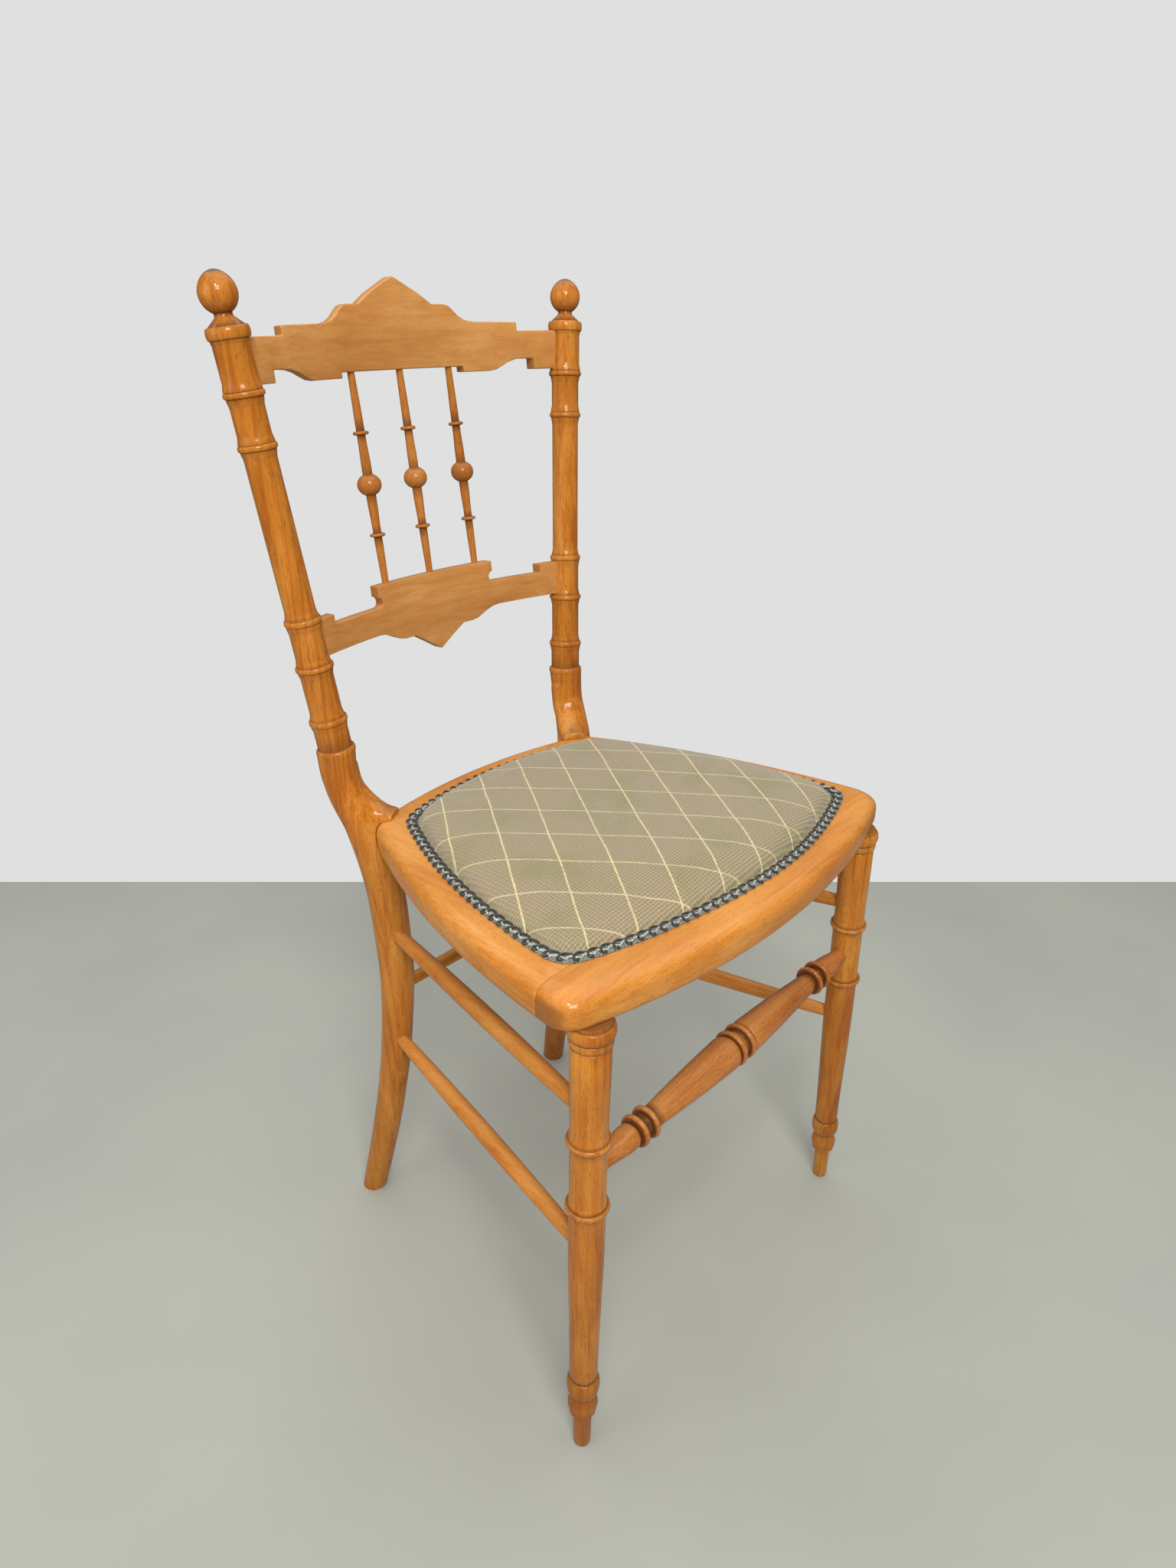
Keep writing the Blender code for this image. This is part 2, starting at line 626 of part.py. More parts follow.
dowel_height = (SEAT_BOTTOM + REBATE_FLOOR) / 2
side_share = (FRONT_JOINT_Y - FRONT_CORNER.y) / (REAR_CORNER.y - FRONT_CORNER.y)
joint_outer_x = FRONT_CORNER.x + (REAR_CORNER.x - FRONT_CORNER.x) * side_share
joint_outer_x += 4 * SEAT_SIDE_BOW * side_share * (1 - side_share)
front_joint_x = joint_outer_x - SEAT_RAIL_WIDTH / 2
rear_share = (REAR_CORNER.x - REAR_JOINT_X) / (2 * REAR_CORNER.x)
rear_joint_y = REAR_CORNER.y + 4 * SEAT_REAR_BOW * rear_share * (1 - rear_share) - SEAT_RAIL_WIDTH / 2
for side, word in ((-1, "left"), (1, "right")):
    for place, offset in (("outer", DOWEL_SPACING / 2), ("inner", -DOWEL_SPACING / 2)):
        add_dowel("front_dowel_%s_%s" % (word, place),
                  Vector((side * (front_joint_x + offset), FRONT_JOINT_Y, dowel_height)), Vector((0, 1, 0)),
                  DOWEL_SHORT_HALF, DOWEL_LONG_HALF, (seat_rails["front"], seat_rails[word]))
        add_dowel("rear_dowel_%s_%s" % (word, place),
                  Vector((side * REAR_JOINT_X, rear_joint_y + offset, dowel_height)), Vector((side, 0, 0)),
                  DOWEL_LONG_HALF, DOWEL_SHORT_HALF, (seat_rails["rear"], seat_rails[word]))


# Rear posts
def post_profile(spare=0.0):
    """Half outline of the turned part, height 0 at the shoulder, along the leaning axis."""
    profile = [(POST_SHAFT_RADII[0], -POST_SPIGOT)]
    for i, height in enumerate(POST_RING_HEIGHTS):
        profile += ring(height, POST_RING_RADII[i], POST_SHAFT_RADII[i], POST_SHAFT_RADII[i + 1])
    neck_low = POST_COLLAR_HEIGHT + POST_COLLAR_HALF
    profile += bead(POST_COLLAR_HEIGHT, POST_COLLAR_RADIUS, POST_COLLAR_HALF, POST_SHAFT_RADII[-1])[:-1]
    profile += [(POST_NECK_RADIUS + POST_NECK_FLARE, neck_low), (POST_NECK_RADIUS, neck_low + POST_NECK_RISE)]
    start = math.asin(POST_NECK_RADIUS / FINIAL_RADIUS)
    steps = 6
    for step in range(steps):
        angle = start + (math.pi - start) * step / steps
        profile.append((FINIAL_RADIUS * math.sin(angle), FINIAL_HEIGHT - FINIAL_RADIUS * math.cos(angle)))
    profile.append((0.0005, FINIAL_HEIGHT + FINIAL_RADIUS))
    stretch = math.sqrt(1 + POST_SPLAY ** 2 + POST_RAKE ** 2)
    return [(radius + spare, height * stretch) for radius, height in profile]


def lip_stations(side):
    """The flared tongue of the post that sits on the seat's corner."""
    aim = Vector((-LIP_IN, -LIP_FORWARD, 0.0)).normalized()
    root = post_point(-SHOULDER_RISE)
    return [(mirrored(root + aim * reach + Vector((0, 0, rise)), side), radius)
            for reach, rise, radius in LIP_STATIONS]


posts = {}
scribes = {}
for side, word in ((-1, "left"), (1, "right")):
    name = "rear_post_" + word
    stations = [(mirrored(point, side), radius) for point, radius in rear_leg_stations()]
    post = add_part(name, bent_mesh(name, stations, POST_SIDES, 4), WOOD)
    axis = along(mirrored(post_point(0.0), side), mirrored(post_point(FINIAL_HEIGHT), side))
    upper = add_cutter(name + "_turning", turned_mesh(name + "_turning", post_profile()), axis)
    scribes[side] = add_cutter(name + "_scribe", turned_mesh(name + "_scribe", post_profile(CLEARANCE)), axis)
    turn(upper, POST_SIDES)
    turn(scribes[side], POST_SIDES)
    lip = add_cutter(name + "_lip", bent_mesh(name + "_lip", lip_stations(side), POST_SIDES, 3))
    shape(post, lip, "UNION")
    shape(post, upper, "UNION")
    shape(post, notch)
    shape(post, floor_cutter)
    posts[side] = post


# Screws from the back of each post into the seat's corner
def screw_profile():
    root = SCREW_RADIUS
    return [(root * 0.4, 0.0), (root, root * 2), (root, SCREW_LENGTH - SCREW_HEAD_HEIGHT),
            (SCREW_HEAD_RADIUS, SCREW_LENGTH - SCREW_HEAD_HEIGHT * 0.3), (SCREW_HEAD_RADIUS, SCREW_LENGTH)]


for side, word in ((-1, "left"), (1, "right")):
    name = "post_screw_" + word
    aim = Vector((-LIP_IN, -LIP_FORWARD, 0.0)).normalized()
    knee = Vector((POST_X - KNEE_IN, POST_Y - KNEE_FORWARD, dowel_height))
    head = mirrored(knee - aim * (KNEE_RADIUS * 0.85), side)
    tip = mirrored(knee - aim * (KNEE_RADIUS * 0.85 - SCREW_LENGTH), side)
    screw = add_part(name, turned_mesh(name, screw_profile()), STEEL, along(tip, head), metallic=1.0)
    turn(screw, DOWEL_SIDES)
    shank = hole(name + "_hole", tip + (tip - head).normalized() * CLEARANCE, head, SCREW_RADIUS, DOWEL_SIDES)
    sink = hole(name + "_sink", head + (tip - head).normalized() * (SCREW_HEAD_HEIGHT + CLEARANCE),
                head + (head - tip).normalized() * KNEE_RADIUS, SCREW_HEAD_RADIUS, DOWEL_SIDES)
    shape(posts[side], shank)
    shape(posts[side], sink)
    shape(seat_rails[word], shank)


# Back boards
def arc(centre, radius, start, end, steps):
    """Points on an arc in the board's own X and height, angles in degrees."""
    return [(centre[0] + radius * math.cos(math.radians(start + (end - start) * i / steps)),
             centre[1] + radius * math.sin(math.radians(start + (end - start) * i / steps)))
            for i in range(steps + 1)]


def both_halves(right_half):
    """A closed outline from its right half, given from the top middle round to the bottom middle."""
    left_half = [(-x, z) for x, z in reversed(right_half) if x > 0.0]
    return right_half + left_half


def crest_outline(end_x):
    """Fretted crest: a low gable between coved shoulders, with stepped ends."""
    half = list(CREST_GABLE)
    half += arc(CREST_COVE_CENTRE, CREST_COVE_RADIUS, 200, 262, 3)
    half += CREST_SHOULDER
    half += [(end_x, CREST_SHOULDER[-1][1]), (end_x, CREST_STEP[0][1])]
    half += CREST_STEP
    half += [(CREST_STEP[-1][0], CREST_UNDERSIDE), (0.0, CREST_UNDERSIDE)]
    return both_halves(half)


def lower_rail_outline(end_x):
    """Lower board: a spindle block in the middle over a pointed apron, with stepped ends."""
    half = [(0.0, LOWER_BLOCK_TOP), (LOWER_BLOCK_X, LOWER_BLOCK_TOP)]
    half += LOWER_BLOCK_NOTCH
    half += LOWER_ARM_TOP
    half += [(end_x, LOWER_ARM_TOP[-1][1]), (end_x, LOWER_APRON[0][1])]
    half += LOWER_APRON
    return both_halves(half)


def bow_depth(x, half_span, bow):
    """How far a board stands behind the line between the posts, on a circular bow."""
    radius = (half_span ** 2 + bow ** 2) / (2 * bow)
    return math.sqrt(radius ** 2 - x ** 2) - (radius - bow)


def lifted(x, height, half_span, bow):
    """Height on a leaning board of a point whose height is taken level, since the bow drops its middle."""
    lean = math.atan(POST_RAKE)
    return (height + bow_depth(x, half_span, bow) * math.sin(lean)) / math.cos(lean)


def add_board(name, rise, bow, thickness, outline_of):
    """A bowed, fretted board scribed to the posts and tenoned into them."""
    middle = post_point(rise)
    half_span = middle.x
    placement = Matrix.Translation((0, middle.y, middle.z)) @ Matrix.Rotation(-math.atan(POST_RAKE), 4, "X")
    steps = 16
    stations = [half_span * (2 * i / steps - 1) for i in range(steps + 1)]
    back = [(x, bow_depth(x, half_span, bow) + thickness / 2) for x in stations]
    front = [(x, bow_depth(x, half_span, bow) - thickness / 2) for x in reversed(stations)]
    deep = half_span / 2
    board = add_part(name, flat_mesh(name, back + front, -deep, deep), WOOD, placement)
    outline = [(x, lifted(x, height, half_span, bow)) for x, height in outline_of(2 * half_span)]
    fret_mesh = flat_mesh(name + "_fret", outline, -deep, deep)
    fret_mesh.transform(Matrix.Rotation(math.pi / 2, 4, "X"))
    shape(board, add_cutter(name + "_fret", fret_mesh, placement), "INTERSECT")
    slope = math.asin(half_span / ((half_span ** 2 + bow ** 2) / (2 * bow)))
    length = BOARD_TENON_ROOT
    for side, word in ((-1, "left"), (1, "right")):
        shape(board, scribes[side])
        seat = Matrix.Translation((side * half_span, 0, 0)) @ Matrix.Rotation(-side * slope, 4, "Z")
        inward = Vector((-side * length / 2, 0, 0))
        tenon = box_mesh(name + "_tenon_" + word, (length, BOARD_TENON_THICKNESS, BOARD_TENON_HEIGHT), inward)
        shape(board, add_cutter(name + "_tenon_" + word, tenon, placement @ seat), "UNION")
        loose = 2 * CLEARANCE
        mortise = box_mesh(name + "_mortise_" + word, (
            length + loose, BOARD_TENON_THICKNESS + loose, BOARD_TENON_HEIGHT + loose), inward)
        shape(posts[side], add_cutter(name + "_mortise_" + word, mortise, placement @ seat))
    return board, placement, half_span


crest, crest_place, crest_span = add_board(
    "crest_rail", CREST_HEIGHT, CREST_BOW, CREST_THICKNESS, crest_outline)
lower, lower_place, lower_span = add_board(
    "lower_back_rail", LOWER_RAIL_HEIGHT, LOWER_RAIL_BOW, LOWER_RAIL_THICKNESS, lower_rail_outline)


# Spindles between the boards
def spindle_profile(length):
    """A thin turned rod with a ball at its middle and a disc to each side of it."""
    middle = length / 2 - SPINDLE_BALL_DROP
    disc = SPINDLE_DISC_HALF
    profile = [(SPINDLE_END_RADIUS, 0.0)]
    below = SPINDLE_WAIST_RADIUS * 0.85
    for height in (middle - SPINDLE_DISC_SPACING, middle + SPINDLE_DISC_SPACING):
        flat = [(below, height - disc), (SPINDLE_DISC_RADIUS, height - disc * 0.6),
                (SPINDLE_DISC_RADIUS, height + disc * 0.6), (below, height + disc)]
        if height > middle:
            start = math.asin(SPINDLE_WAIST_RADIUS / SPINDLE_BALL_RADIUS)
            for step in range(7):
                angle = start + (math.pi - 2 * start) * step / 6
                profile.append((SPINDLE_BALL_RADIUS * math.sin(angle),
                                middle - 0.88 * SPINDLE_BALL_RADIUS * math.cos(angle)))
        profile += flat
    profile.append((SPINDLE_END_RADIUS, length))
    return profile


def board_point(placement, x, half_span, bow, height):
    """A point on a board's middle surface, its height taken level."""
    return placement @ Vector((x, bow_depth(x, half_span, bow), lifted(x, height, half_span, bow)))


for word, x in (("left", -SPINDLE_SPACING), ("centre", 0.0), ("right", SPINDLE_SPACING)):
    name = "back_spindle_" + word
    low = board_point(lower_place, x, lower_span, LOWER_RAIL_BOW, LOWER_BLOCK_TOP - SPINDLE_TENON)
    high = board_point(crest_place, x, crest_span, CREST_BOW, CREST_UNDERSIDE + SPINDLE_TENON)
    spindle = add_part(name, turned_mesh(name, spindle_profile((high - low).length)), WOOD, along(low, high))
    turn(spindle, SPINDLE_SIDES)
    upward = (high - low).normalized()
    shape(lower, hole(name + "_foot", low - upward * CLEARANCE, low + upward * 2 * SPINDLE_TENON,
                      SPINDLE_END_RADIUS + CLEARANCE, SPINDLE_SIDES))
    shape(crest, hole(name + "_head", high - upward * 2 * SPINDLE_TENON, high + upward * CLEARANCE,
                      SPINDLE_END_RADIUS + CLEARANCE, SPINDLE_SIDES))


# Stretchers
def plain_profile(length, end_radius, radius, end_length):
    """A stretcher that swells smoothly between its two round tenons."""
    profile = [(end_radius, 0.0)]
    steps = 6
    for step in range(steps + 1):
        share = step / steps
        swell = math.sin(math.pi * share) ** 0.8
        height = end_length + (length - 2 * end_length) * share
        profile.append((end_radius + (radius - end_radius) * swell, height))
    profile.append((end_radius, length))
    return profile


def add_stretcher(name, start, end, profile, end_radius, first, second):
    """A turned bar with its tenons in two uprights."""
    bar = add_part(name, turned_mesh(name, profile), WOOD, along(start, end))
    turn(bar, SPINDLE_SIDES)
    course = (end - start).normalized()
    grip = 2 * KNEE_RADIUS
    shape(first, hole(name + "_socket_a", start - course * CLEARANCE, start + course * grip,
                      end_radius + CLEARANCE, SPINDLE_SIDES))
    shape(second, hole(name + "_socket_b", end - course * grip, end + course * CLEARANCE,
                       end_radius + CLEARANCE, SPINDLE_SIDES))


leg_path = rear_leg_stations()
stretcher_levels = (("upper", UPPER_STRETCHER_FRONT, UPPER_STRETCHER_REAR),
                    ("lower", LOWER_STRETCHER_FRONT, LOWER_STRETCHER_REAR))
for side, word in ((-1, "left"), (1, "right")):
    for level, front_height, rear_height in stretcher_levels:
        start = mirrored(leg_point(front_height), side)
        end = mirrored(leg_axis_point(leg_path, rear_height), side)
        bar_profile = plain_profile((end - start).length, SIDE_STRETCHER_END_RADIUS, SIDE_STRETCHER_RADIUS,
                                    2 * LEG_SHAFT_RADIUS)
        add_stretcher("side_stretcher_%s_%s" % (level, word), start, end, bar_profile,
                      SIDE_STRETCHER_END_RADIUS, front_legs[side], posts[side])

rear_end = leg_axis_point(leg_path, REAR_STRETCHER_HEIGHT)
rear_start = mirrored(rear_end, -1)
rear_profile = plain_profile(
    2 * rear_end.x, REAR_STRETCHER_END_RADIUS, REAR_STRETCHER_RADIUS, 2 * WAIST_RADIUS)
add_stretcher("rear_stretcher", rear_start, rear_end, rear_profile,
              REAR_STRETCHER_END_RADIUS, posts[-1], posts[1])


def front_stretcher_profile(length):
    """Two vase-shaped balusters between three pairs of rings, with a tapering bulb at each end."""
    half = length / 2
    pitch = FRONT_STRETCHER_RING_PITCH / 2
    bulb = FRONT_STRETCHER_GROUP_X + pitch + FRONT_STRETCHER_END_FLARE
    widest = FRONT_STRETCHER_BALUSTER_MIDDLE
    right = []
    for centre, band, root in (
            (0.0, FRONT_STRETCHER_MIDDLE_RING, widest),
            (FRONT_STRETCHER_GROUP_X, FRONT_STRETCHER_RING_RADIUS, FRONT_STRETCHER_BALUSTER_END)):
        neck = root * FRONT_STRETCHER_NECK
        near = [(neck, centre + FRONT_STRETCHER_RING_OUT),
                (band, centre + pitch - FRONT_STRETCHER_RING_IN),
                (band, centre + pitch + FRONT_STRETCHER_RING_OUT),
                (neck, centre + pitch + FRONT_STRETCHER_RING_FALL)]
        if centre > 0.0:
            right += [(radius, 2 * centre - height) for radius, height in reversed(near)]
        right += near
        if centre == 0.0:
            right.append((widest, pitch + FRONT_STRETCHER_SHOULDER))
    right += [(FRONT_STRETCHER_BULB, bulb), (FRONT_STRETCHER_END_RADIUS, half - 1.2 * LEG_SHAFT_RADIUS),
              (FRONT_STRETCHER_END_RADIUS, half)]
    left = [(radius, -height) for radius, height in reversed(right)]
    return [(radius, height + half) for radius, height in left + right]


bar_end = leg_point(FRONT_STRETCHER_HEIGHT)
bar_start = mirrored(bar_end, -1)
add_stretcher("front_stretcher", bar_start, bar_end, front_stretcher_profile(2 * bar_end.x),
              FRONT_STRETCHER_END_RADIUS, front_legs[-1], front_legs[1])


# Upholstery, from the webbing up
def half_width_at(points, y):
    """Half width of a symmetric outline at one depth."""
    for first, second in zip(points, points[1:] + points[:1]):
        if first.x > 0 and second.x > 0 and min(first.y, second.y) <= y <= max(first.y, second.y):
            share = (y - first.y) / (second.y - first.y)
            return first.x + (second.x - first.x) * share
    return 0.0


def depth_at(points, x, front):
    """Depth of an outline's front or rear edge at one distance from the middle."""
    depths = []
    for first, second in zip(points, points[1:] + points[:1]):
        if min(first.x, second.x) <= x <= max(first.x, second.x) and first.x != second.x:
            share = (x - first.x) / (second.x - first.x)
            depths.append(first.y + (second.y - first.y) * share)
    return min(depths) if front else max(depths)


strap_outline = seat_outline(WEBBING_END_MARGIN)
cross_low = REBATE_FLOOR + CLEARANCE
long_low = cross_low + WEBBING_THICKNESS + CLEARANCE
cloth_low = long_low + WEBBING_THICKNESS + CLEARANCE
for index, word in enumerate(("front", "middle", "rear")):
    name = "webbing_cross_" + word
    y = SEAT_CENTRE_Y + (index - 1) * WEBBING_PITCH
    half = min(half_width_at(strap_outline, y + reach) for reach in (-WEBBING_WIDTH / 2, WEBBING_WIDTH / 2))
    size = (2 * half, WEBBING_WIDTH, WEBBING_THICKNESS)
    centre = Vector((0, y, cross_low + WEBBING_THICKNESS / 2))
    add_part(name, box_mesh(name, size, centre), JUTE, smooth=False)
for index, word in enumerate(("left", "centre", "right")):
    name = "webbing_long_" + word
    x = (index - 1) * WEBBING_PITCH
    widest = abs(x) + WEBBING_WIDTH / 2
    front_y = depth_at(strap_outline, widest, True)
    rear_y = depth_at(strap_outline, widest, False)
    size = (WEBBING_WIDTH, rear_y - front_y, WEBBING_THICKNESS)
    centre = Vector((x, (front_y + rear_y) / 2, long_low + WEBBING_THICKNESS / 2))
    add_part(name, box_mesh(name, size, centre), JUTE, smooth=False)

cloth_outline = seat_outline(REBATE_MARGIN + CLEARANCE)
add_part("base_cloth", flat_mesh("base_cloth", cloth_outline, cloth_low, cloth_low + BASE_CLOTH_THICKNESS),
         JUTE, smooth=False)

crown_outline = seat_outline(GIMP_MARGIN + GIMP_WIDTH)
crown_steps = (1.0, 0.985, 0.955, 0.91, 0.84, 0.6, 0.2)


def rise_at(factor):
    """Height of the crown over the seat top, steep at the edge and nearly flat in the middle."""
    return CROWN * (1 - factor ** CROWN_FALL) ** CROWN_ROUND


stuffing_low = cloth_low + BASE_CLOTH_THICKNESS + CLEARANCE
stuffing_rings = [(scaled_outline(crown_outline, factor), stuffing_low) for factor in (0.45, crown_steps[1])]
for factor in crown_steps[1:]:
    top = SEAT_TOP + rise_at(factor) - COVER_THICKNESS - CLEARANCE
    stuffing_rings.append((scaled_outline(crown_outline, factor), top))
add_part("seat_stuffing", loft_mesh("seat_stuffing", stuffing_rings), FIBRE)

cover_levels = [(seat_outline(REBATE_MARGIN + CLEARANCE), SEAT_TOP)]
for factor in crown_steps:
    cover_levels.append((scaled_outline(crown_outline, factor), SEAT_TOP + rise_at(factor)))
cover_rings = [(points, height - COVER_THICKNESS) for points, height in reversed(cover_levels)] + cover_levels
add_part("seat_cover", loft_mesh("seat_cover", cover_rings), CLOTH)

gimp_low = SEAT_TOP + CLEARANCE
gimp_high = gimp_low + GIMP_THICKNESS
gimp_round = GIMP_WIDTH / 6
gimp_section = ((0.0, gimp_low), (0.0, gimp_low + GIMP_THICKNESS / 2), (gimp_round, gimp_high),
                (GIMP_WIDTH - gimp_round, gimp_high), (GIMP_WIDTH, gimp_low + GIMP_THICKNESS / 2),
                (GIMP_WIDTH, gimp_low))
gimp_rings = [(seat_outline(GIMP_MARGIN + inset), height) for inset, height in gimp_section]
add_part("gimp_braid", loft_mesh("gimp_braid", gimp_rings, closed_section=True), BRAID)
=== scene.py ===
import math
import bmesh
import bpy
from mathutils import Matrix, Vector


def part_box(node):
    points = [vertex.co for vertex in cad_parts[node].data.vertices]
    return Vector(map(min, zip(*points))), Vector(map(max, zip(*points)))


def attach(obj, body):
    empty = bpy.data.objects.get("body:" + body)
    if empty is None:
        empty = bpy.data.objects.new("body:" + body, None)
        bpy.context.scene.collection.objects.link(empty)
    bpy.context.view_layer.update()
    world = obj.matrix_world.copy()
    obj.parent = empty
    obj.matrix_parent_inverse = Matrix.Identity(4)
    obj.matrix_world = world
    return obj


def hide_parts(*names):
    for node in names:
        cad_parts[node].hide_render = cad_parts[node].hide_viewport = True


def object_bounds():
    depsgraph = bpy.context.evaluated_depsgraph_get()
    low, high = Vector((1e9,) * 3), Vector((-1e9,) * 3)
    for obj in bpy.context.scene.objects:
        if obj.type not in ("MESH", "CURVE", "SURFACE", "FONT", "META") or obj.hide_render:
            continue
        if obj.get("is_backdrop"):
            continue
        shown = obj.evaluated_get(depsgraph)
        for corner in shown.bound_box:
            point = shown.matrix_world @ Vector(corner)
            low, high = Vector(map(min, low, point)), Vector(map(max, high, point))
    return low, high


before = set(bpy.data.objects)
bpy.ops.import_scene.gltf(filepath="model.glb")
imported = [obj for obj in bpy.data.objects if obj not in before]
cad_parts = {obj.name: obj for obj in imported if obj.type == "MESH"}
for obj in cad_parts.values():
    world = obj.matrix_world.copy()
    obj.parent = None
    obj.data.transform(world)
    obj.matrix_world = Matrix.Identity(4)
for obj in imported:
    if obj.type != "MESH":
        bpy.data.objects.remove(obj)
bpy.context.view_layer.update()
print("frame loaded,", len(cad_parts), "CAD nodes")


# small helpers

def pickOnly(piece):
    bpy.ops.object.select_all(action="DESELECT")
    piece.select_set(True)
    bpy.context.view_layer.objects.active = piece


def startPiece(name, primitive, **settings):
    bpy.ops.object.select_all(action="DESELECT")
    primitive(location=(0, 0, 0), **settings)
    piece = bpy.context.object
    piece.name = piece.data.name = name
    return piece


def editAll(piece):  # into edit mode with everything selected
    pickOnly(piece)
    bpy.ops.object.mode_set(mode="EDIT")
    bpy.ops.mesh.select_all(action="SELECT")


def leaveEdit():
    bpy.ops.object.mode_set(mode="OBJECT")


def putInPlace(piece, place):
    pickOnly(piece)
    piece.matrix_world = place
    bpy.ops.object.transform_apply(location=True, rotation=True, scale=True)


def closeUp(piece):  # welds the seams and turns every face outwards
    editAll(piece)
    bpy.ops.mesh.remove_doubles(threshold=0.00001)
    bpy.ops.mesh.normals_make_consistent(inside=False)
    leaveEdit()


def cutAway(piece, place, normal):  # saws off what lies on the normal's side and closes the cut
    editAll(piece)
    bpy.ops.mesh.bisect(plane_co=place, plane_no=normal, use_fill=True, clear_outer=True)
    leaveEdit()


def joinTo(piece, other):
    pickOnly(piece)
    other.select_set(True)
    bpy.ops.object.join()


def useModifier(piece, kind, **settings):
    pickOnly(piece)
    modifier = piece.modifiers.new(kind.title(), kind)
    for name, value in settings.items():
        setattr(modifier, name, value)
    bpy.ops.object.modifier_apply(modifier=modifier.name)


def easeEdges(piece, width, segments, degrees):
    useModifier(piece, "BEVEL", width=width, segments=segments, limit_method="ANGLE",
                angle_limit=math.radians(degrees))


def softShade(piece, degrees):
    pickOnly(piece)
    bpy.ops.object.shade_smooth_by_angle(angle=math.radians(degrees))


def copyOf(piece, name, mirror=False):
    pickOnly(piece)
    bpy.ops.object.duplicate()
    twin = bpy.context.object
    twin.name = twin.data.name = name
    if mirror:
        twin.scale.x = -1
        bpy.ops.object.transform_apply(location=True, rotation=True, scale=True)
        closeUp(twin)
    return twin


def finishPiece(piece, node, material):
    piece.data.materials.clear()
    piece.data.materials.append(material)
    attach(piece, "root")
    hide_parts(node)


def mirrored(point):
    return Vector((-point.x, point.y, point.z))


# materials

def hexColor(code):
    parts = [int(code[i:i + 2], 16) / 255 for i in (0, 2, 4)]
    return [c / 12.92 if c <= 0.04045 else ((c + 0.055) / 1.055) ** 2.4 for c in parts] + [1.0]


def setInputs(tree, node, inputs):  # a node given as a value is linked by its first output
    for name, value in inputs.items():
        if isinstance(value, bpy.types.Node):
            value = value.outputs[0]
        if isinstance(value, bpy.types.NodeSocket):
            tree.links.new(value, node.inputs[name])
        else:
            node.inputs[name].default_value = value


def addNode(tree, kind, settings=None, inputs=None, stops=None):
    node = tree.nodes.new("ShaderNode" + kind)
    for name, value in (settings or {}).items():
        setattr(node, name, value)
    setInputs(tree, node, inputs or {})
    for index, (place, code) in enumerate(stops or []):
        ramp = node.color_ramp.elements
        stop = ramp[index] if index < 2 else ramp.new(place)
        stop.position, stop.color = place, hexColor(code)
    return node


def newMaterial(name):
    material = bpy.data.materials.new(name)
    material.use_nodes = True
    tree = material.node_tree
    coords = addNode(tree, "TexCoord").outputs["Object"]
    return material, tree, tree.nodes["Principled BSDF"], coords


def dressSurface(tree, shader, pattern, stops, roughness, relief=0.0, depth=0.0):
    # one pattern gives the colour and, where there is relief, the bump
    color = addNode(tree, "ValToRGB", None, {"Fac": pattern}, stops)
    setInputs(tree, shader, {"Base Color": color.outputs["Color"], "Roughness": roughness})
    if relief:
        bump = addNode(tree, "Bump", None, {"Height": pattern, "Strength": relief, "Distance": depth})
        setInputs(tree, shader, {"Normal": bump.outputs["Normal"]})


beech = {
    # the groove tone is painted shade for the hollows of the turning
    "honey": "BD7426", "deep": "A25918", "pale": "CE8A39", "streak": "733E10", "grooveShade": "42210B",
    "grainWide": 0.0042, "grainLong": 0.13,    # the broad soft grain
    "lineWide": 0.0012, "lineLong": 0.045,     # fine dark lines between it
    "fleckLong": 0.006, "fleckWide": 0.0007,   # beech shows short dark ray flecks
    "figure": 0.05,                            # cloudy figure under the varnish
    "ripple": 0.0035,                          # brushed varnish lies in faint waves
    "floorShadeLow": 0.10, "floorShadeTop": 0.32,            # painted shade: darker low on the legs, towards the floor
    "floorShadeUneven": 0.10, "floorShadeValue": 0.80,
    "topSheen": 0.15, "topSheenTone": "DCAA70",        # painted highlight: faces that look up are made paler, as where light from above falls on them
    "spread": 0.11, "marking": 0.40,           # how far the tones part, and how strong the marks are
    "endStain": 0.72,                          # end grain drinks more stain
    "roughness": (0.34, 0.50), "coat": 0.42, "coatRoughness": 0.09,
    "relief": 0.28, "reliefDepth": 0.0006,
}
seatBeech = dict(beech, honey="C57D2F", deep="AF6423", pale="D59448", streak="854D1E",
                 spread=0.16, marking=0.38)
boardBeech = dict(beech, honey="BF8345", deep="AD7035", pale="CE985B", streak="98642F",
                  spread=0.17, marking=0.22, grainWide=0.006, grainLong=0.06)
# painted shade: a darker, redder copy of the beech for the front stretcher, which lies in shade
shadedStretcherBeech = dict(beech, honey="B56D30", deep="9A5520", pale="C98646", streak="6A330F",
                spread=0.14, marking=0.45)
spindleBeech = dict(beech, honey="B06C2C", deep="9A581F", pale="C07F3C", streak="6A3810", spread=0.20)


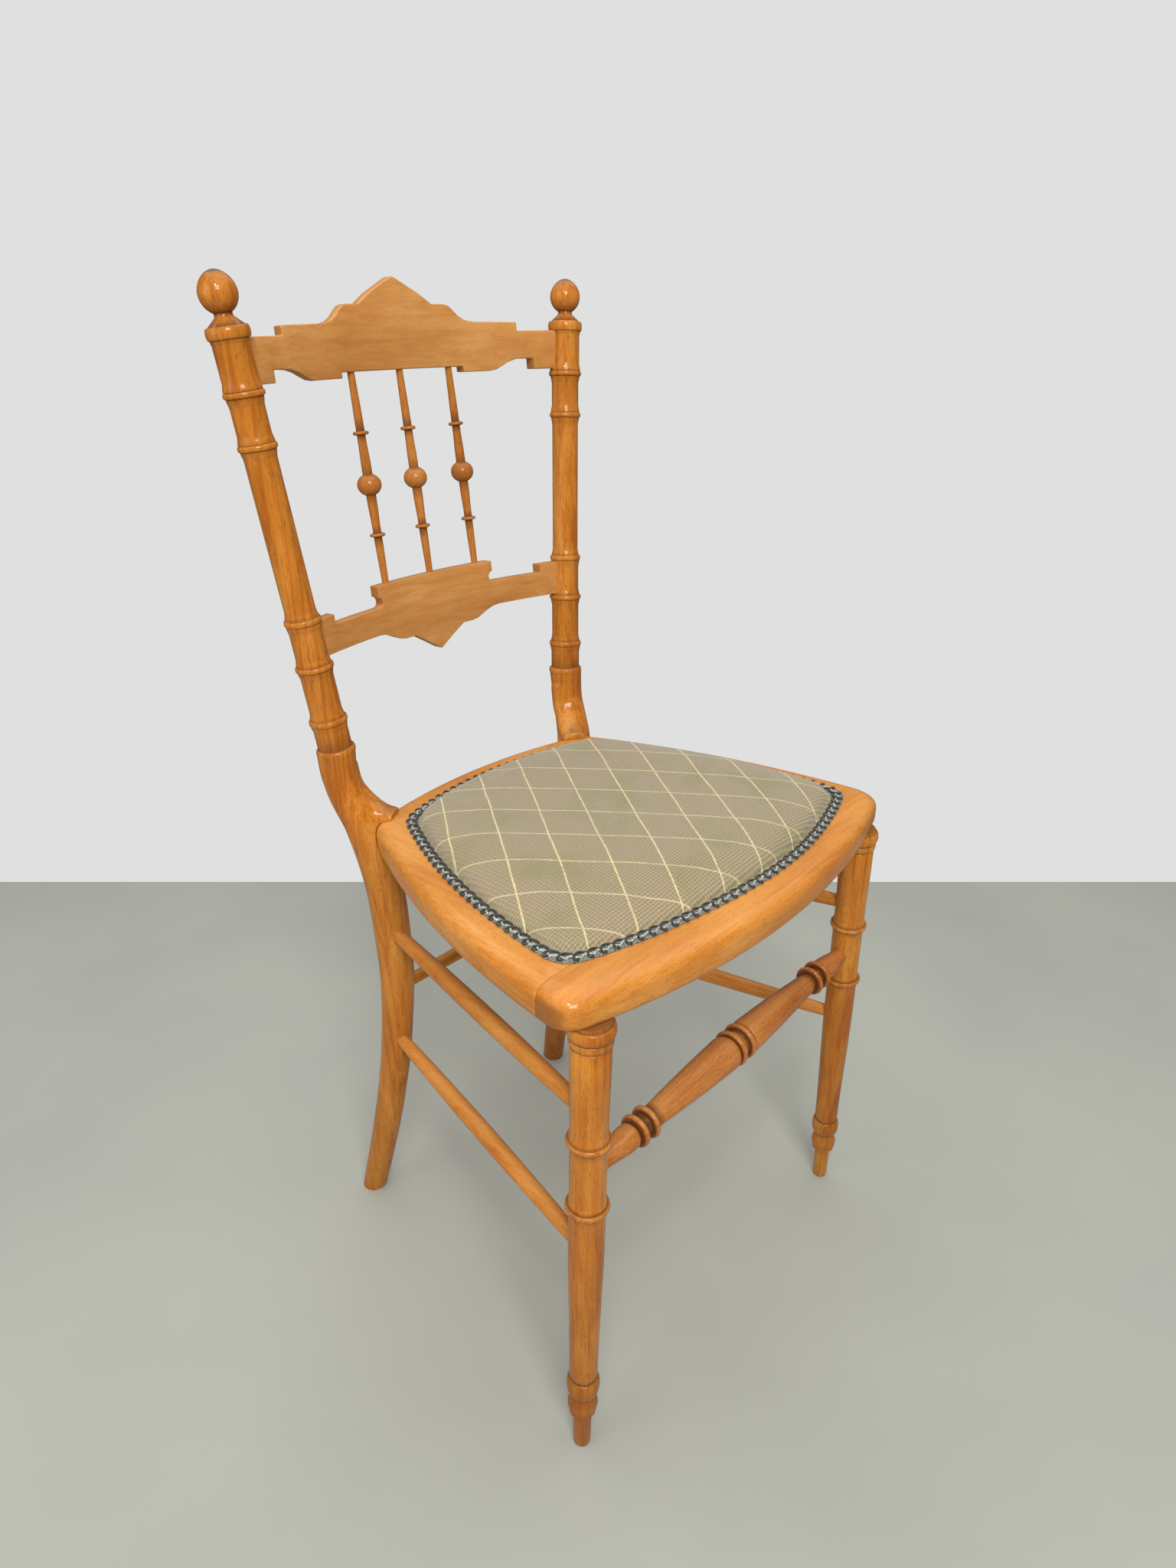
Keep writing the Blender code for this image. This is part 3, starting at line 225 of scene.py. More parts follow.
def varnishedBeech(name, grainAlong, look, shadedNearFloor=False):
    # Turned beech under old shellac: honey coloured, clear grain, a gloss that is broken by dull patches.
    material, tree, shader, coords = newMaterial(name)
    axis = "XYZ".index(grainAlong)

    def stretchedNoise(wide, long, detail, roughness=0.5, distortion=0.0):  # cells long with the grain
        scale = [1 / wide] * 3
        scale[axis] = 1 / long
        spot = addNode(tree, "Mapping", None, {"Vector": coords, "Scale": scale})
        return addNode(tree, "TexNoise", None, {
            "Vector": spot, "Scale": 1.0, "Detail": detail, "Roughness": roughness,
            "Distortion": distortion}).outputs["Fac"]

    def stained(under, value, low, high, most, tone):  # the tone comes in as the value goes from low to high
        share = addNode(tree, "MapRange", {"interpolation_type": "SMOOTHSTEP"}, {
            "Value": value, "From Min": low, "From Max": high, "To Max": most})
        return addNode(tree, "Mix", {"data_type": "RGBA"}, {
            "Factor": share, "A": under, "B": hexColor(tone)}).outputs["Result"]

    figure = stretchedNoise(look["figure"], look["figure"] * 2.5, 3.0, 0.55)
    grain = stretchedNoise(look["grainWide"], look["grainLong"], 4.0, 0.6, 0.4)
    lines = stretchedNoise(look["lineWide"], look["lineLong"], 3.0, 0.6)
    fleck = stretchedNoise(look["fleckWide"], look["fleckLong"], 1.0)
    ripple = stretchedNoise(look["ripple"], look["ripple"] * 6, 2.0)

    cloudy = addNode(tree, "Math", {"operation": "MULTIPLY_ADD"}, {0: figure, 1: 0.55, 2: -0.02})
    blended = addNode(tree, "Math", {"operation": "MULTIPLY_ADD"}, {
        0: grain, 1: 0.50, 2: cloudy})
    middle, spread = 0.51, look["spread"]   # the blend's mean, and how far from it the outer tones lie
    color = addNode(tree, "ValToRGB", None, {"Fac": blended}, [
        (middle - spread, look["deep"]), (middle + spread, look["pale"]),
        (middle, look["honey"])]).outputs["Color"]
    markings = ((grain, 0.56, 0.72, 1.0), (lines, 0.55, 0.75, 1.0), (fleck, 0.58, 0.72, 1.3))
    for value, low, high, share in markings:
        color = stained(color, value, low, high, look["marking"] * share, look["streak"])
    normal = addNode(tree, "SeparateXYZ", None, {
        "Vector": addNode(tree, "NewGeometry").outputs["Normal"]})
    facing = addNode(tree, "Math", {"operation": "ABSOLUTE"}, {0: normal.outputs[axis]})
    color = stained(color, facing, 0.70, 0.98, look["endStain"], look["streak"])
    # painted highlight: the more a face looks up, the paler it is painted, standing in for light from above
    color = stained(color, normal.outputs["Z"], 0.50, 0.98, look["topSheen"], look["topSheenTone"])
    # painted shade: the turned grooves are darkened, as where shade falls in them
    grooveShade = addNode(tree, "Attribute", {"attribute_name": "grooveShade"})
    color = addNode(tree, "Mix", {"data_type": "RGBA"}, {
        "Factor": grooveShade.outputs["Fac"], "A": color, "B": hexColor(look["grooveShade"])}).outputs["Result"]
    # painted shade: the colour's value drops towards the floor, where less light reaches
    if shadedNearFloor:
        height = addNode(tree, "SeparateXYZ", None, {"Vector": coords}).outputs["Z"]
        uneven = addNode(tree, "Math", {"operation": "MULTIPLY_ADD"}, {
            0: figure, 1: look["floorShadeUneven"], 2: height})
        tone = addNode(tree, "MapRange", {"interpolation_type": "SMOOTHSTEP"}, {
            "Value": uneven, "From Min": look["floorShadeLow"], "From Max": look["floorShadeTop"],
            "To Min": look["floorShadeValue"], "To Max": 1.0})
        color = addNode(tree, "HueSaturation", None, {
            "Color": color, "Value": tone}).outputs["Color"]

    dull = addNode(tree, "MapRange", None, {
        "Value": figure, "From Min": 0.3, "From Max": 0.7,
        "To Min": look["roughness"][0], "To Max": look["roughness"][1]})
    grained = addNode(tree, "Math", {"operation": "MULTIPLY_ADD"}, {0: lines, 1: -0.4, 2: ripple})
    bump = addNode(tree, "Bump", None, {
        "Height": grained, "Strength": look["relief"], "Distance": look["reliefDepth"]})
    setInputs(tree, shader, {
        "Base Color": color, "Roughness": dull, "Normal": bump.outputs["Normal"],
        "IOR": 1.5, "Specular IOR Level": 0.05,
        "Coat Weight": look["coat"], "Coat Roughness": look["coatRoughness"], "Coat IOR": 1.5})
    return material


wood = {"X": varnishedBeech("varnishedBeechAcross", "X", seatBeech),
        "Y": varnishedBeech("varnishedBeechDeep", "Y", seatBeech),
        "Z": varnishedBeech("varnishedBeechUpright", "Z", beech, shadedNearFloor=True)}
boardWood = varnishedBeech("varnishedBeechBoard", "X", boardBeech)
shadedStretcherWood = varnishedBeech("varnishedBeechShaded", "X", shadedStretcherBeech)
spindleWood = varnishedBeech("varnishedBeechSpindle", "Z", spindleBeech)

bandLength = 0.314   # metres from band to band in a wave texture of scale 1

cloth = {
    "base": "A0916F", "olive": "958A62", "rose": "A59074", "line": "CDBF8C", "dark": "655B3F",
    # metres between threads, degrees of the way across, place of the first in spacings, how much they fan
    "threadsA": {"spacing": 0.0382, "across": -35.0, "start": 0.025, "fan": 0.0},
    "threadsB": {"spacing": 0.0422, "across": 38.3, "start": -0.063, "fan": -15.2},
    "lineWide": 0.0014, "fainterB": 0.78, "wobble": 0.0016, "wobbleSize": 0.05,
    "slub": 0.00588, "patch": 0.0417,   # uneven stretches of thread, and faded patches
    "rib": 0.0026,                      # the real ribs are near 2 mm, drawn coarser so that they show
    "ribShade": 0.74, "relief": 0.7, "reliefDepth": 0.0006,
}


def ribbedCloth():
    # Upholstery rep: a fine ribbed weave in olive grey, with a thin yellow thread woven in as a trellis.
    material, tree, shader, coords = newMaterial("ribbedUpholsteryCloth")
    sway = addNode(tree, "TexNoise", None, {
        "Vector": coords, "Scale": 1 / cloth["wobbleSize"], "Detail": 2.0})
    centred = addNode(tree, "VectorMath", {"operation": "SUBTRACT"}, {
        0: sway.outputs["Color"], 1: (0.5, 0.5, 0.5)})
    swayed = addNode(tree, "VectorMath", {"operation": "MULTIPLY_ADD"}, {
        0: centred, 1: [cloth["wobble"] * 2] * 3, 2: coords}).outputs[0]
    sides = addNode(tree, "SeparateXYZ", None, {"Vector": swayed})
    product = addNode(tree, "Math", {"operation": "MULTIPLY"}, {
        0: sides.outputs["X"], 1: sides.outputs["Y"]})

    def threadLines(spacing, across, start, fan):
        turn, half = math.radians(across), cloth["lineWide"] / 2 / spacing
        straight = addNode(tree, "VectorMath", {"operation": "DOT_PRODUCT"}, {
            0: swayed, 1: (math.cos(turn) / spacing, math.sin(turn) / spacing, 0)})
        fanned = addNode(tree, "Math", {"operation": "MULTIPLY_ADD"}, {
            0: product, 1: fan, 2: straight.outputs["Value"]})
        shifted = addNode(tree, "Math", {"operation": "ADD"}, {   # a hundred keeps it above zero
            0: fanned, 1: 100.5 + start})
        cell = addNode(tree, "Math", {"operation": "FRACT"}, {0: shifted})
        middle = addNode(tree, "Math", {"operation": "SUBTRACT"}, {0: cell, 1: 0.5})
        away = addNode(tree, "Math", {"operation": "ABSOLUTE"}, {0: middle})
        return addNode(tree, "MapRange", {"interpolation_type": "SMOOTHSTEP"}, {
            "Value": away, "From Min": half * 1.5, "From Max": half * 0.5}).outputs[0]

    lineA, lineB = threadLines(**cloth["threadsA"]), threadLines(**cloth["threadsB"])
    fainter = addNode(tree, "Math", {"operation": "MULTIPLY"}, {0: lineB, 1: cloth["fainterB"]})
    lines = addNode(tree, "Math", {"operation": "MAXIMUM"}, {0: lineA, 1: fainter})
    slub = addNode(tree, "TexNoise", None, {
        "Vector": coords, "Scale": 1 / cloth["slub"], "Detail": 2.0})
    slubbed = addNode(tree, "MapRange", None, {
        "Value": slub.outputs["Fac"], "From Min": 0.3, "From Max": 0.6, "To Min": 0.55})
    shown = addNode(tree, "Math", {"operation": "MULTIPLY"}, {
        0: lines, 1: slubbed})
    # ribs run across the seat, each one a little uneven
    ribs = addNode(tree, "TexWave", {"wave_type": "BANDS", "bands_direction": "Y"}, {
        "Vector": coords, "Scale": bandLength / cloth["rib"],
        "Distortion": 2.4, "Detail": 2.0, "Detail Scale": 1.5})
    threads = addNode(tree, "TexWave", {"wave_type": "BANDS", "bands_direction": "X"}, {
        "Vector": coords, "Scale": bandLength / cloth["rib"] * 0.8, "Distortion": 1.0, "Detail": 1.0})
    finer = addNode(tree, "Math", {"operation": "MULTIPLY"}, {0: threads.outputs["Fac"], 1: 0.35})
    weave = addNode(tree, "Math", {"operation": "MULTIPLY_ADD"}, {
        0: ribs.outputs["Fac"], 1: 0.65, 2: finer})
    patches = addNode(tree, "TexNoise", None, {
        "Vector": coords, "Scale": 1 / cloth["patch"], "Detail": 3.0})
    base = addNode(tree, "ValToRGB", None, {"Fac": patches.outputs["Fac"]}, [
        (0.32, cloth["olive"]), (0.70, cloth["rose"]), (0.50, cloth["base"])])
    shade = addNode(tree, "MapRange", None, {
        "Value": weave, "To Min": cloth["ribShade"], "To Max": 0.0})
    woven = addNode(tree, "Mix", {"data_type": "RGBA"}, {
        "Factor": shade, "A": base.outputs["Color"], "B": hexColor(cloth["dark"])})
    lined = addNode(tree, "Mix", {"data_type": "RGBA"}, {
        "Factor": shown, "A": woven.outputs["Result"], "B": hexColor(cloth["line"])})
    height = addNode(tree, "Math", {"operation": "MULTIPLY_ADD"}, {
        0: shown, 1: 0.5, 2: weave})
    bump = addNode(tree, "Bump", None, {
        "Height": height, "Strength": cloth["relief"], "Distance": cloth["reliefDepth"]})
    setInputs(tree, shader, {
        "Base Color": lined.outputs["Result"], "Normal": bump.outputs["Normal"],
        "Roughness": 0.92, "Sheen Weight": 0.25, "Sheen Roughness": 0.5})
    return material


# the pale shades colour the core cord: a painted highlight that shows in the centre of each loop
braidLook = {"dark": ("10100C", "25261F", "4C4E44"), "pale": ("6A6B60", "A0A196", "D0D0C6"),
             "ground": ("3C3D36", "6E7067", "9A9B90"), "thread": 0.0011}


def silkBraid(name, shades):
    # Rayon cord: smooth threads in near black and grey green, so it flashes pale where it turns to the light.
    material, tree, shader, coords = newMaterial(name)
    threads = addNode(tree, "TexNoise", None, {
        "Vector": coords, "Scale": 1 / braidLook["thread"], "Detail": 1.0})
    deep, middle, bright = shades
    stops = [(0.36, deep), (0.68, bright), (0.52, middle)]
    dressSurface(tree, shader, threads.outputs["Fac"], stops, 0.45, relief=0.6, depth=0.0005)
    setInputs(tree, shader, {"Sheen Weight": 0.15})
    return material


juteLook = {"pale": "B79A6B", "dark": "7A6038", "yarn": 0.0021, "hair": 0.00111}


def wovenJute(name, yarn):
    # Jute: stiff hairy yarns in a plain weave, over and under.
    material, tree, shader, coords = newMaterial(name)
    warp, weft = [addNode(tree, "TexWave", {"wave_type": "BANDS", "bands_direction": way}, {
        "Vector": coords, "Scale": bandLength / yarn, "Distortion": 0.8, "Detail": 2.0}) for way in "XY"]
    over = addNode(tree, "Math", {"operation": "MULTIPLY"}, {
        0: warp.outputs["Fac"], 1: weft.outputs["Fac"]})
    hair = addNode(tree, "TexNoise", None, {
        "Vector": coords, "Scale": 1 / juteLook["hair"], "Detail": 3.0})
    mixed = addNode(tree, "Math", {"operation": "MULTIPLY_ADD"}, {
        0: hair.outputs["Fac"], 1: 0.5, 2: over})
    stops = [(0.2, juteLook["dark"]), (0.8, juteLook["pale"])]
    dressSurface(tree, shader, mixed, stops, 0.95, relief=0.7, depth=0.0006)
    return material


def plainSteel(turningMark=0.0004):
    # Plain wood screw: drawn steel wire with fine turning marks.
    material, tree, shader, coords = newMaterial("plainSteel")
    marks = addNode(tree, "TexNoise", None, {
        "Vector": coords, "Scale": 1 / turningMark, "Detail": 2.0})
    dressSurface(tree, shader, marks.outputs["Fac"], [(0.3, "8D8A84"), (0.7, "B5B2AB")], 0.38)
    setInputs(tree, shader, {"Metallic": 1.0})
    return material


def rawBeech(grainWide=0.00167):
    # Bare dowel wood, pale and dry.
    material, tree, shader, coords = newMaterial("rawBeech")
    grain = addNode(tree, "TexNoise", None, {"Vector": coords, "Scale": 1 / grainWide, "Detail": 4.0})
    dressSurface(tree, shader, grain.outputs["Fac"], [(0.3, "B98F5E"), (0.7, "D9B585")], 0.7)
    return material


def looseFibre(strand=0.00238):
    # Curled plant fibre, dark and matted.
    material, tree, shader, coords = newMaterial("curledFibre")
    strands = addNode(tree, "TexNoise", None, {
        "Vector": coords, "Scale": 1 / strand, "Detail": 6.0, "Distortion": 2.5})
    stops = [(0.35, "3A2A1A"), (0.7, "8A6E49")]
    dressSurface(tree, shader, strands.outputs["Fac"], stops, 0.95, relief=0.9, depth=0.002)
    return material


def paintedConcrete(shades, stain):
    # Floor paint, worn to slightly different greys.
    material, tree, shader, coords = newMaterial("paintedConcrete")
    stains = addNode(tree, "TexNoise", None, {"Vector": coords, "Scale": 1 / stain, "Detail": 5.0})
    dressSurface(tree, shader, stains.outputs["Fac"], list(zip((0.3, 0.7), shades)), 0.6)
    return material


seatCloth = ribbedCloth()
braidFinish = {part: silkBraid("rayonBraid" + part.title(), braidLook[part])
               for part in ("dark", "pale", "ground")}
strapJute = wovenJute("juteWebbing", juteLook["yarn"])
hessian = wovenJute("juteHessian", juteLook["yarn"] * 0.7)
print("materials made")


# turned pieces

grooveShadeLook = {"full": 0.0035, "fall": 1.5, "most": 0.8}   # painted shade in the hollows: the depth where it is darkest, how it fades, how dark it gets


def drawOutline(name, points):
    # one point extruded from place to place; the piece stays in edit mode, all selected
    piece = startPiece(name, bpy.ops.mesh.primitive_plane_add, size=0.001)
    editAll(piece)
    bpy.ops.mesh.merge(type="CENTER")
    bpy.ops.transform.translate(value=points[0])
    for here, there in zip(points, points[1:]):
        bpy.ops.mesh.extrude_region_move(TRANSFORM_OT_translate={"value": there - here})
    bpy.ops.mesh.select_all(action="SELECT")
    return piece


def markGrooveShade(piece, outline, reach):
    # how far each point of the outline lies below its neighbours, kept on the mesh for the material to paint
    # shade in the hollows
    hollow = []
    for radius, height in outline:
        near = [r for r, h in outline if abs(h - height) < reach]
        hollow.append(min(1.0, max(0.0, (max(near) - radius) / grooveShadeLook["full"])) ** grooveShadeLook["fall"])
    layer = piece.data.attributes.new("grooveShade", "FLOAT", "POINT")
    for vertex in piece.data.vertices:
        radius, height = math.hypot(vertex.co.x, vertex.co.y), vertex.co.z
        apart = [abs(h - height) + abs(r - radius) for r, h in outline]
        layer.data[vertex.index].value = hollow[apart.index(min(apart))] * grooveShadeLook["most"]


def turnOnLathe(name, outline, foot, head, sides=48, grooveShadeReach=0.003):
    # outline runs up the piece as (radius, height); it is spun round its axis and stood from foot to head
    closed = [(0.0, outline[0][1])] + outline + [(0.0, outline[-1][1])]
    piece = drawOutline(name, [Vector((radius, 0.0, height)) for radius, height in closed])
    bpy.ops.mesh.spin(steps=sides, angle=math.tau, center=(0, 0, 0), axis=(0, 0, 1))
    leaveEdit()
    closeUp(piece)
    markGrooveShade(piece, outline, grooveShadeReach)
    lean = (head - foot).normalized().to_track_quat("Z", "Y").to_matrix().to_4x4()
    putInPlace(piece, Matrix.Translation(foot) @ lean)
    softShade(piece, 50)
    return piece


def easeIn(value):  # a smooth step from 0 to 1
    value = min(1.0, max(0.0, value))
    return value * value * (3 - 2 * value)


def easeBetween(start, end, steps):  # a smooth S from one (radius, height) to another
    points = []
    for step in range(1, steps):
        t = step / steps
        points.append((start[0] + (end[0] - start[0]) * easeIn(t), start[1] + (end[1] - start[1]) * t))
    return points


def beadAt(height, radius, half, root, steps=8):  # a half-round bead that stands on the root radius
    points = []
    for step in range(steps + 1):
        angle = math.pi * step / steps
        points.append((root + (radius - root) * math.sin(angle) ** 0.75, height - half * math.cos(angle)))
    return points


def ballAt(height, radius, startRadius, endRadius, tall, steps=16):
    first = math.asin(min(1.0, startRadius / radius))
    last = math.pi - math.asin(min(1.0, endRadius / radius))
    angles = [first + (last - first) * step / steps for step in range(steps + 1)]
    return [(radius * math.sin(angle), height - tall * radius * math.cos(angle)) for angle in angles]


ring = {"half": 0.0025, "flare": 0.0065, "rise": 0.0010, "beadShare": 0.92, "beadSunk": 0.6}


def bambooRing(height, radius, below, above):
    # the shaft flares a little, then a thin raised band with a rounded back
    half, flare, rise = ring["half"], ring["flare"], ring["rise"]
    low, high = (below, height - half - flare), (below + rise, height - half)
    points = [low] + easeBetween(low, high, 6) + [high]
    points += beadAt(height, radius, half * ring["beadShare"], below + rise * ring["beadSunk"])
    low, high = (above + rise, height + half), (above, height + half + flare)
    return points + [low] + easeBetween(low, high, 6) + [high]


seat = {
    "top": 0.451, "thickness": 0.0305, "edgeRound": 0.011, "edgeSteps": 8, "railWidth": 0.052,
    "frontCorner": Vector((0.2087, -0.1785)), "rearCorner": Vector((0.131, 0.1165)),
    "frontBow": 0.035, "sideBow": 0.015, "rearBow": 0.0185, "sideSteps": 22,
    "frontRound": 0.019, "rearRound": 0.014, "openingRound": 0.018, "roundSteps": 10,
    "frontJointY": -0.1515, "rearJointX": 0.086, "jointGap": 0.00015,
}
seatBottom = seat["top"] - seat["thickness"]

frontLeg = {
    "x": 0.1797, "y": -0.1765, "splay": 0.0262,
    "topRadius": 0.0145, "shaft": 0.0137, "ankle": 0.0113, "ankleTop": 0.0835,
    "ringRadius": 0.0166, "rings": (0.261, 0.322),
    "scribe": (0.0164, 0.0006),   # drop below the seat, depth
    "collars": ((0.0120, 0.0157, 0.0028, 8), (0.0034, 0.0171, 0.0050, 10)),   # drop, radius, half, steps
    "footRing": 0.0710, "footRingRadius": 0.0133, "footRingHalf": 0.0085, "footRingRoot": 0.0104,
    "footGroove": (0.0098, 0.0605), "cup": (0.0122, 0.0485), "cupFoot": (0.0104, 0.0412), "cupSteps": 8,
    "cupRim": 0.0109, "pin": 0.0076, "tip": 0.0070, "tenon": 0.0140,
}


def legPoint(height):
    return Vector((frontLeg["x"] + frontLeg["splay"] * (seatBottom - height), frontLeg["y"], height))


def frontLegOutline():
    leg = frontLeg
    tip, pin, rimRadius, cup, cupFoot = leg["tip"], leg["pin"], leg["cupRim"], leg["cup"], leg["cupFoot"]
    rim = cupFoot[1] - 0.0016
    points = [(tip - 0.0012, 0.0), (tip - 0.0002, 0.0008), (tip, 0.0025)]
    points += [(pin - 0.0001, rim - 0.0048), (pin, rim - 0.0008)]
    points += [(rimRadius - 0.0004, rim - 0.0004), (rimRadius, rim + 0.0004)]   # thin rim under the cup
    points += [(rimRadius - 0.0003, rim + 0.0012), cupFoot]
    for step in range(1, leg["cupSteps"]):   # the cup swells like a tulip
        t = step / leg["cupSteps"]
        points.append((cupFoot[0] + (cup[0] - cupFoot[0]) * math.sin(math.pi / 2 * t),
                       cupFoot[1] + (cup[1] - cupFoot[1]) * t))
    points += [cup] + easeBetween(cup, leg["footGroove"], 8) + [leg["footGroove"]]
    points += beadAt(leg["footRing"], leg["footRingRadius"], leg["footRingHalf"], leg["footRingRoot"], 14)
    ankle = (leg["ankle"], leg["ankleTop"])
    points += easeBetween((leg["footRingRoot"], leg["footRing"] + leg["footRingHalf"]), ankle, 5) + [ankle]
    (lower, upper), shaft, top = leg["rings"], leg["shaft"], leg["topRadius"]
    points += easeBetween(ankle, (shaft, lower - 0.03), 10)
    points += bambooRing(lower, leg["ringRadius"], shaft, shaft - 0.0002)
    points += bambooRing(upper, leg["ringRadius"], shaft, shaft)
    points += easeBetween((shaft, upper + 0.012), (top, seatBottom - 0.034), 8)
    drop, deep = leg["scribe"]
    line = seatBottom - drop
    points += [(top, line - deep), (top - deep, line), (top, line + deep)]
    for drop, radius, half, steps in leg["collars"]:
        points += beadAt(seatBottom - drop, radius, half, top, steps)
    return points + [(leg["tenon"], seatBottom + 0.004)]


for word, side in (("Left", mirrored), ("Right", Vector)):
    leg = turnOnLathe("frontLeg" + word, frontLegOutline(), side(legPoint(0.0)), side(legPoint(seatBottom)))
    finishPiece(leg, "front_leg_" + word.lower(), wood["Z"])
print("front legs turned")


# seat frame

def movedCorner(corner, before, after, inset):
    first, second = (corner - before).normalized(), (after - corner).normalized()
    firstOut, secondOut = Vector((first.y, -first.x)), Vector((second.y, -second.x))
    return corner - (firstOut + secondOut) * (inset / (1 + firstOut.dot(secondOut)))


def seatOutline(inset, frontRound=seat["frontRound"], rearRound=seat["rearRound"]):
    # the bow-sided seat seen from above, moved inwards, anticlockwise from its front left corner
    front, rear = seat["frontCorner"], seat["rearCorner"]
    corners = [Vector((-front.x, front.y)), front, rear, Vector((-rear.x, rear.y))]
    moved = [movedCorner(corners[i], corners[i - 1], corners[(i + 1) % 4], inset) for i in range(4)]
    rounds = (frontRound, frontRound, rearRound, rearRound)
    bows = (seat["frontBow"], seat["sideBow"], seat["rearBow"], seat["sideBow"])
    sides = []
    for i in range(4):
        start, end = moved[i], moved[(i + 1) % 4]
        chord = end - start
        outward = Vector((chord.y, -chord.x)).normalized()
        first, last = rounds[i] / chord.length, 1 - rounds[(i + 1) % 4] / chord.length
        steps = seat["sideSteps"]
        places = [first + (last - first) * step / steps for step in range(steps + 1)]
        sides.append([start + chord * t + outward * (4 * bows[i] * t * (1 - t)) for t in places])
    points = []
    for i in range(4):
        points += sides[i]
        start, end = sides[i][-1], sides[(i + 1) % 4][0]
        leave, arrive = start - sides[i][-2], sides[(i + 1) % 4][1] - end
        reach = (end - start).cross(arrive) / leave.cross(arrive)
        peak = start + leave * reach
        for step in range(1, seat["roundSteps"]):
            t = step / seat["roundSteps"]
            points.append(start * (1 - t) ** 2 + peak * (2 * t * (1 - t)) + end * t ** 2)
    return points


def sweepLoops(name, levels, ringShaped=False):
    # a circle is pulled onto the first outline, then extruded and pulled onto each next one
    piece = startPiece(name, bpy.ops.mesh.primitive_circle_add, vertices=len(levels[0][0]), radius=0.1)
    bpy.ops.object.mode_set(mode="EDIT")
    form = bmesh.from_edit_mesh(piece.data)
    order = {vertex: index for index, vertex in enumerate(form.verts)}
    for number, (points, height) in enumerate(levels):
        if number:
            bpy.ops.mesh.extrude_region_move(TRANSFORM_OT_translate={"value": (0, 0, 0.2)})
            form = bmesh.from_edit_mesh(piece.data)
            fresh = [vertex for vertex in form.verts if vertex.select]
            below = {(round(p.x, 6), round(p.y, 6)): i for i, p in enumerate(levels[number - 1][0])}
            order = {vertex: below[(round(vertex.co.x, 6), round(vertex.co.y, 6))] for vertex in fresh}
        for vertex, index in order.items():
            vertex.co = (points[index].x, points[index].y, height)
        bmesh.update_edit_mesh(piece.data)
    leaveEdit()
    if ringShaped:
        closeUp(piece)
    return piece


def seatBlank(name, spread=0.0):
    # the whole frame with its bullnose edge; spread makes it a little larger all round
    roundness, low, high = seat["edgeRound"], seatBottom - spread, seat["top"] + spread
    inner = seatOutline(seat["railWidth"], seat["openingRound"], seat["openingRound"])
    edge = []
    for step in range(seat["edgeSteps"] + 1):
        angle = math.pi / 2 * step / seat["edgeSteps"]
        outline = seatOutline(roundness * (1 - math.sin(angle)) - spread)
        edge.append((outline, roundness * (1 - math.cos(angle))))
    levels = [(inner, low)] + [(outline, low + rise) for outline, rise in edge]
    levels += [(outline, high - rise) for outline, rise in reversed(edge)] + [(inner, high), (inner, low)]
    return sweepLoops(name, levels, True)


gap = seat["jointGap"] / 2
frontY, rearX = seat["frontJointY"], seat["rearJointX"]
railCuts = {
    "Front": [((0, frontY - gap, 0), (0, 1, 0))],
    "Rear": [((0, 0, 0), (0, -1, 0)), ((rearX - gap, 0, 0), (1, 0, 0)), ((-rearX + gap, 0, 0), (-1, 0, 0))],
    "Left": [((0, frontY + gap, 0), (0, -1, 0)), ((-rearX - gap, 0, 0), (1, 0, 0))],
    "Right": [((0, frontY + gap, 0), (0, -1, 0)), ((rearX + gap, 0, 0), (-1, 0, 0))],
}
blank = seatBlank("seatBlank")
for word, cuts in railCuts.items():
    rail = copyOf(blank, "seatRail" + word)
    for place, normal in cuts:
        cutAway(rail, place, normal)
    closeUp(rail)
    easeEdges(rail, 0.00025, 2, 50)
    softShade(rail, 40)
    grain = "X" if word in ("Front", "Rear") else "Y"
    finishPiece(rail, "seat_rail_" + word.lower(), wood[grain])
bpy.data.objects.remove(blank)
print("seat frame joined")


# rear posts

post = {
    "x": 0.1404, "y": 0.1453, "splay": 0.098, "rake": 0.0797, "shoulder": seat["top"] + 0.061,
    "shoulderRadius": 0.0162,
    "bend": [   # height, inwards, forwards, radius
        (0.000, 0.0030, -0.0245, 0.0121), (0.121, 0.0160, 0.0013, 0.0140), (0.223, 0.0228, 0.0165, 0.0150),
        (0.316, 0.0234, 0.0224, 0.0165), (0.43575, 0.0095, 0.0205, 0.0172), (0.482, 0.0002, 0.0030, 0.0148)],
    "lipAim": Vector((-0.52, -0.85, 0.0)).normalized(),
    "lip": [    # reach, rise over the seat, radius
        (-0.003, 0.044, 0.0112), (0.0018, 0.0235, 0.0108), (0.0099, 0.0133, 0.0101), (0.0194, 0.0044, 0.0101),
        (0.0280, -0.0005, 0.0098), (0.0385, -0.0030, 0.0097)],
    "lipWider": 0.22, "voxel": 0.0014, "notchGap": 0.0004,
    "ringHeights": (0.025, 0.071, 0.109, 0.240, 0.276),
    "ringRadii": (0.0158, 0.0155, 0.0148, 0.0146, 0.0151),
    "shafts": (0.0140, 0.0132, 0.0130, 0.0122, 0.0125, 0.0132),
    "collar": 0.316, "collarRadius": 0.0156, "collarHalf": 0.0042, "neck": 0.0064,
    "finial": 0.3408, "finialRadius": 0.0136, "finialTip": 0.0006, "finialTall": 1.02, "finialPoint": 0.0009,
}


def postPoint(rise):
    x, y = post["x"] + post["splay"] * rise, post["y"] + post["rake"] * rise
    return Vector((x, y, post["shoulder"] + rise))


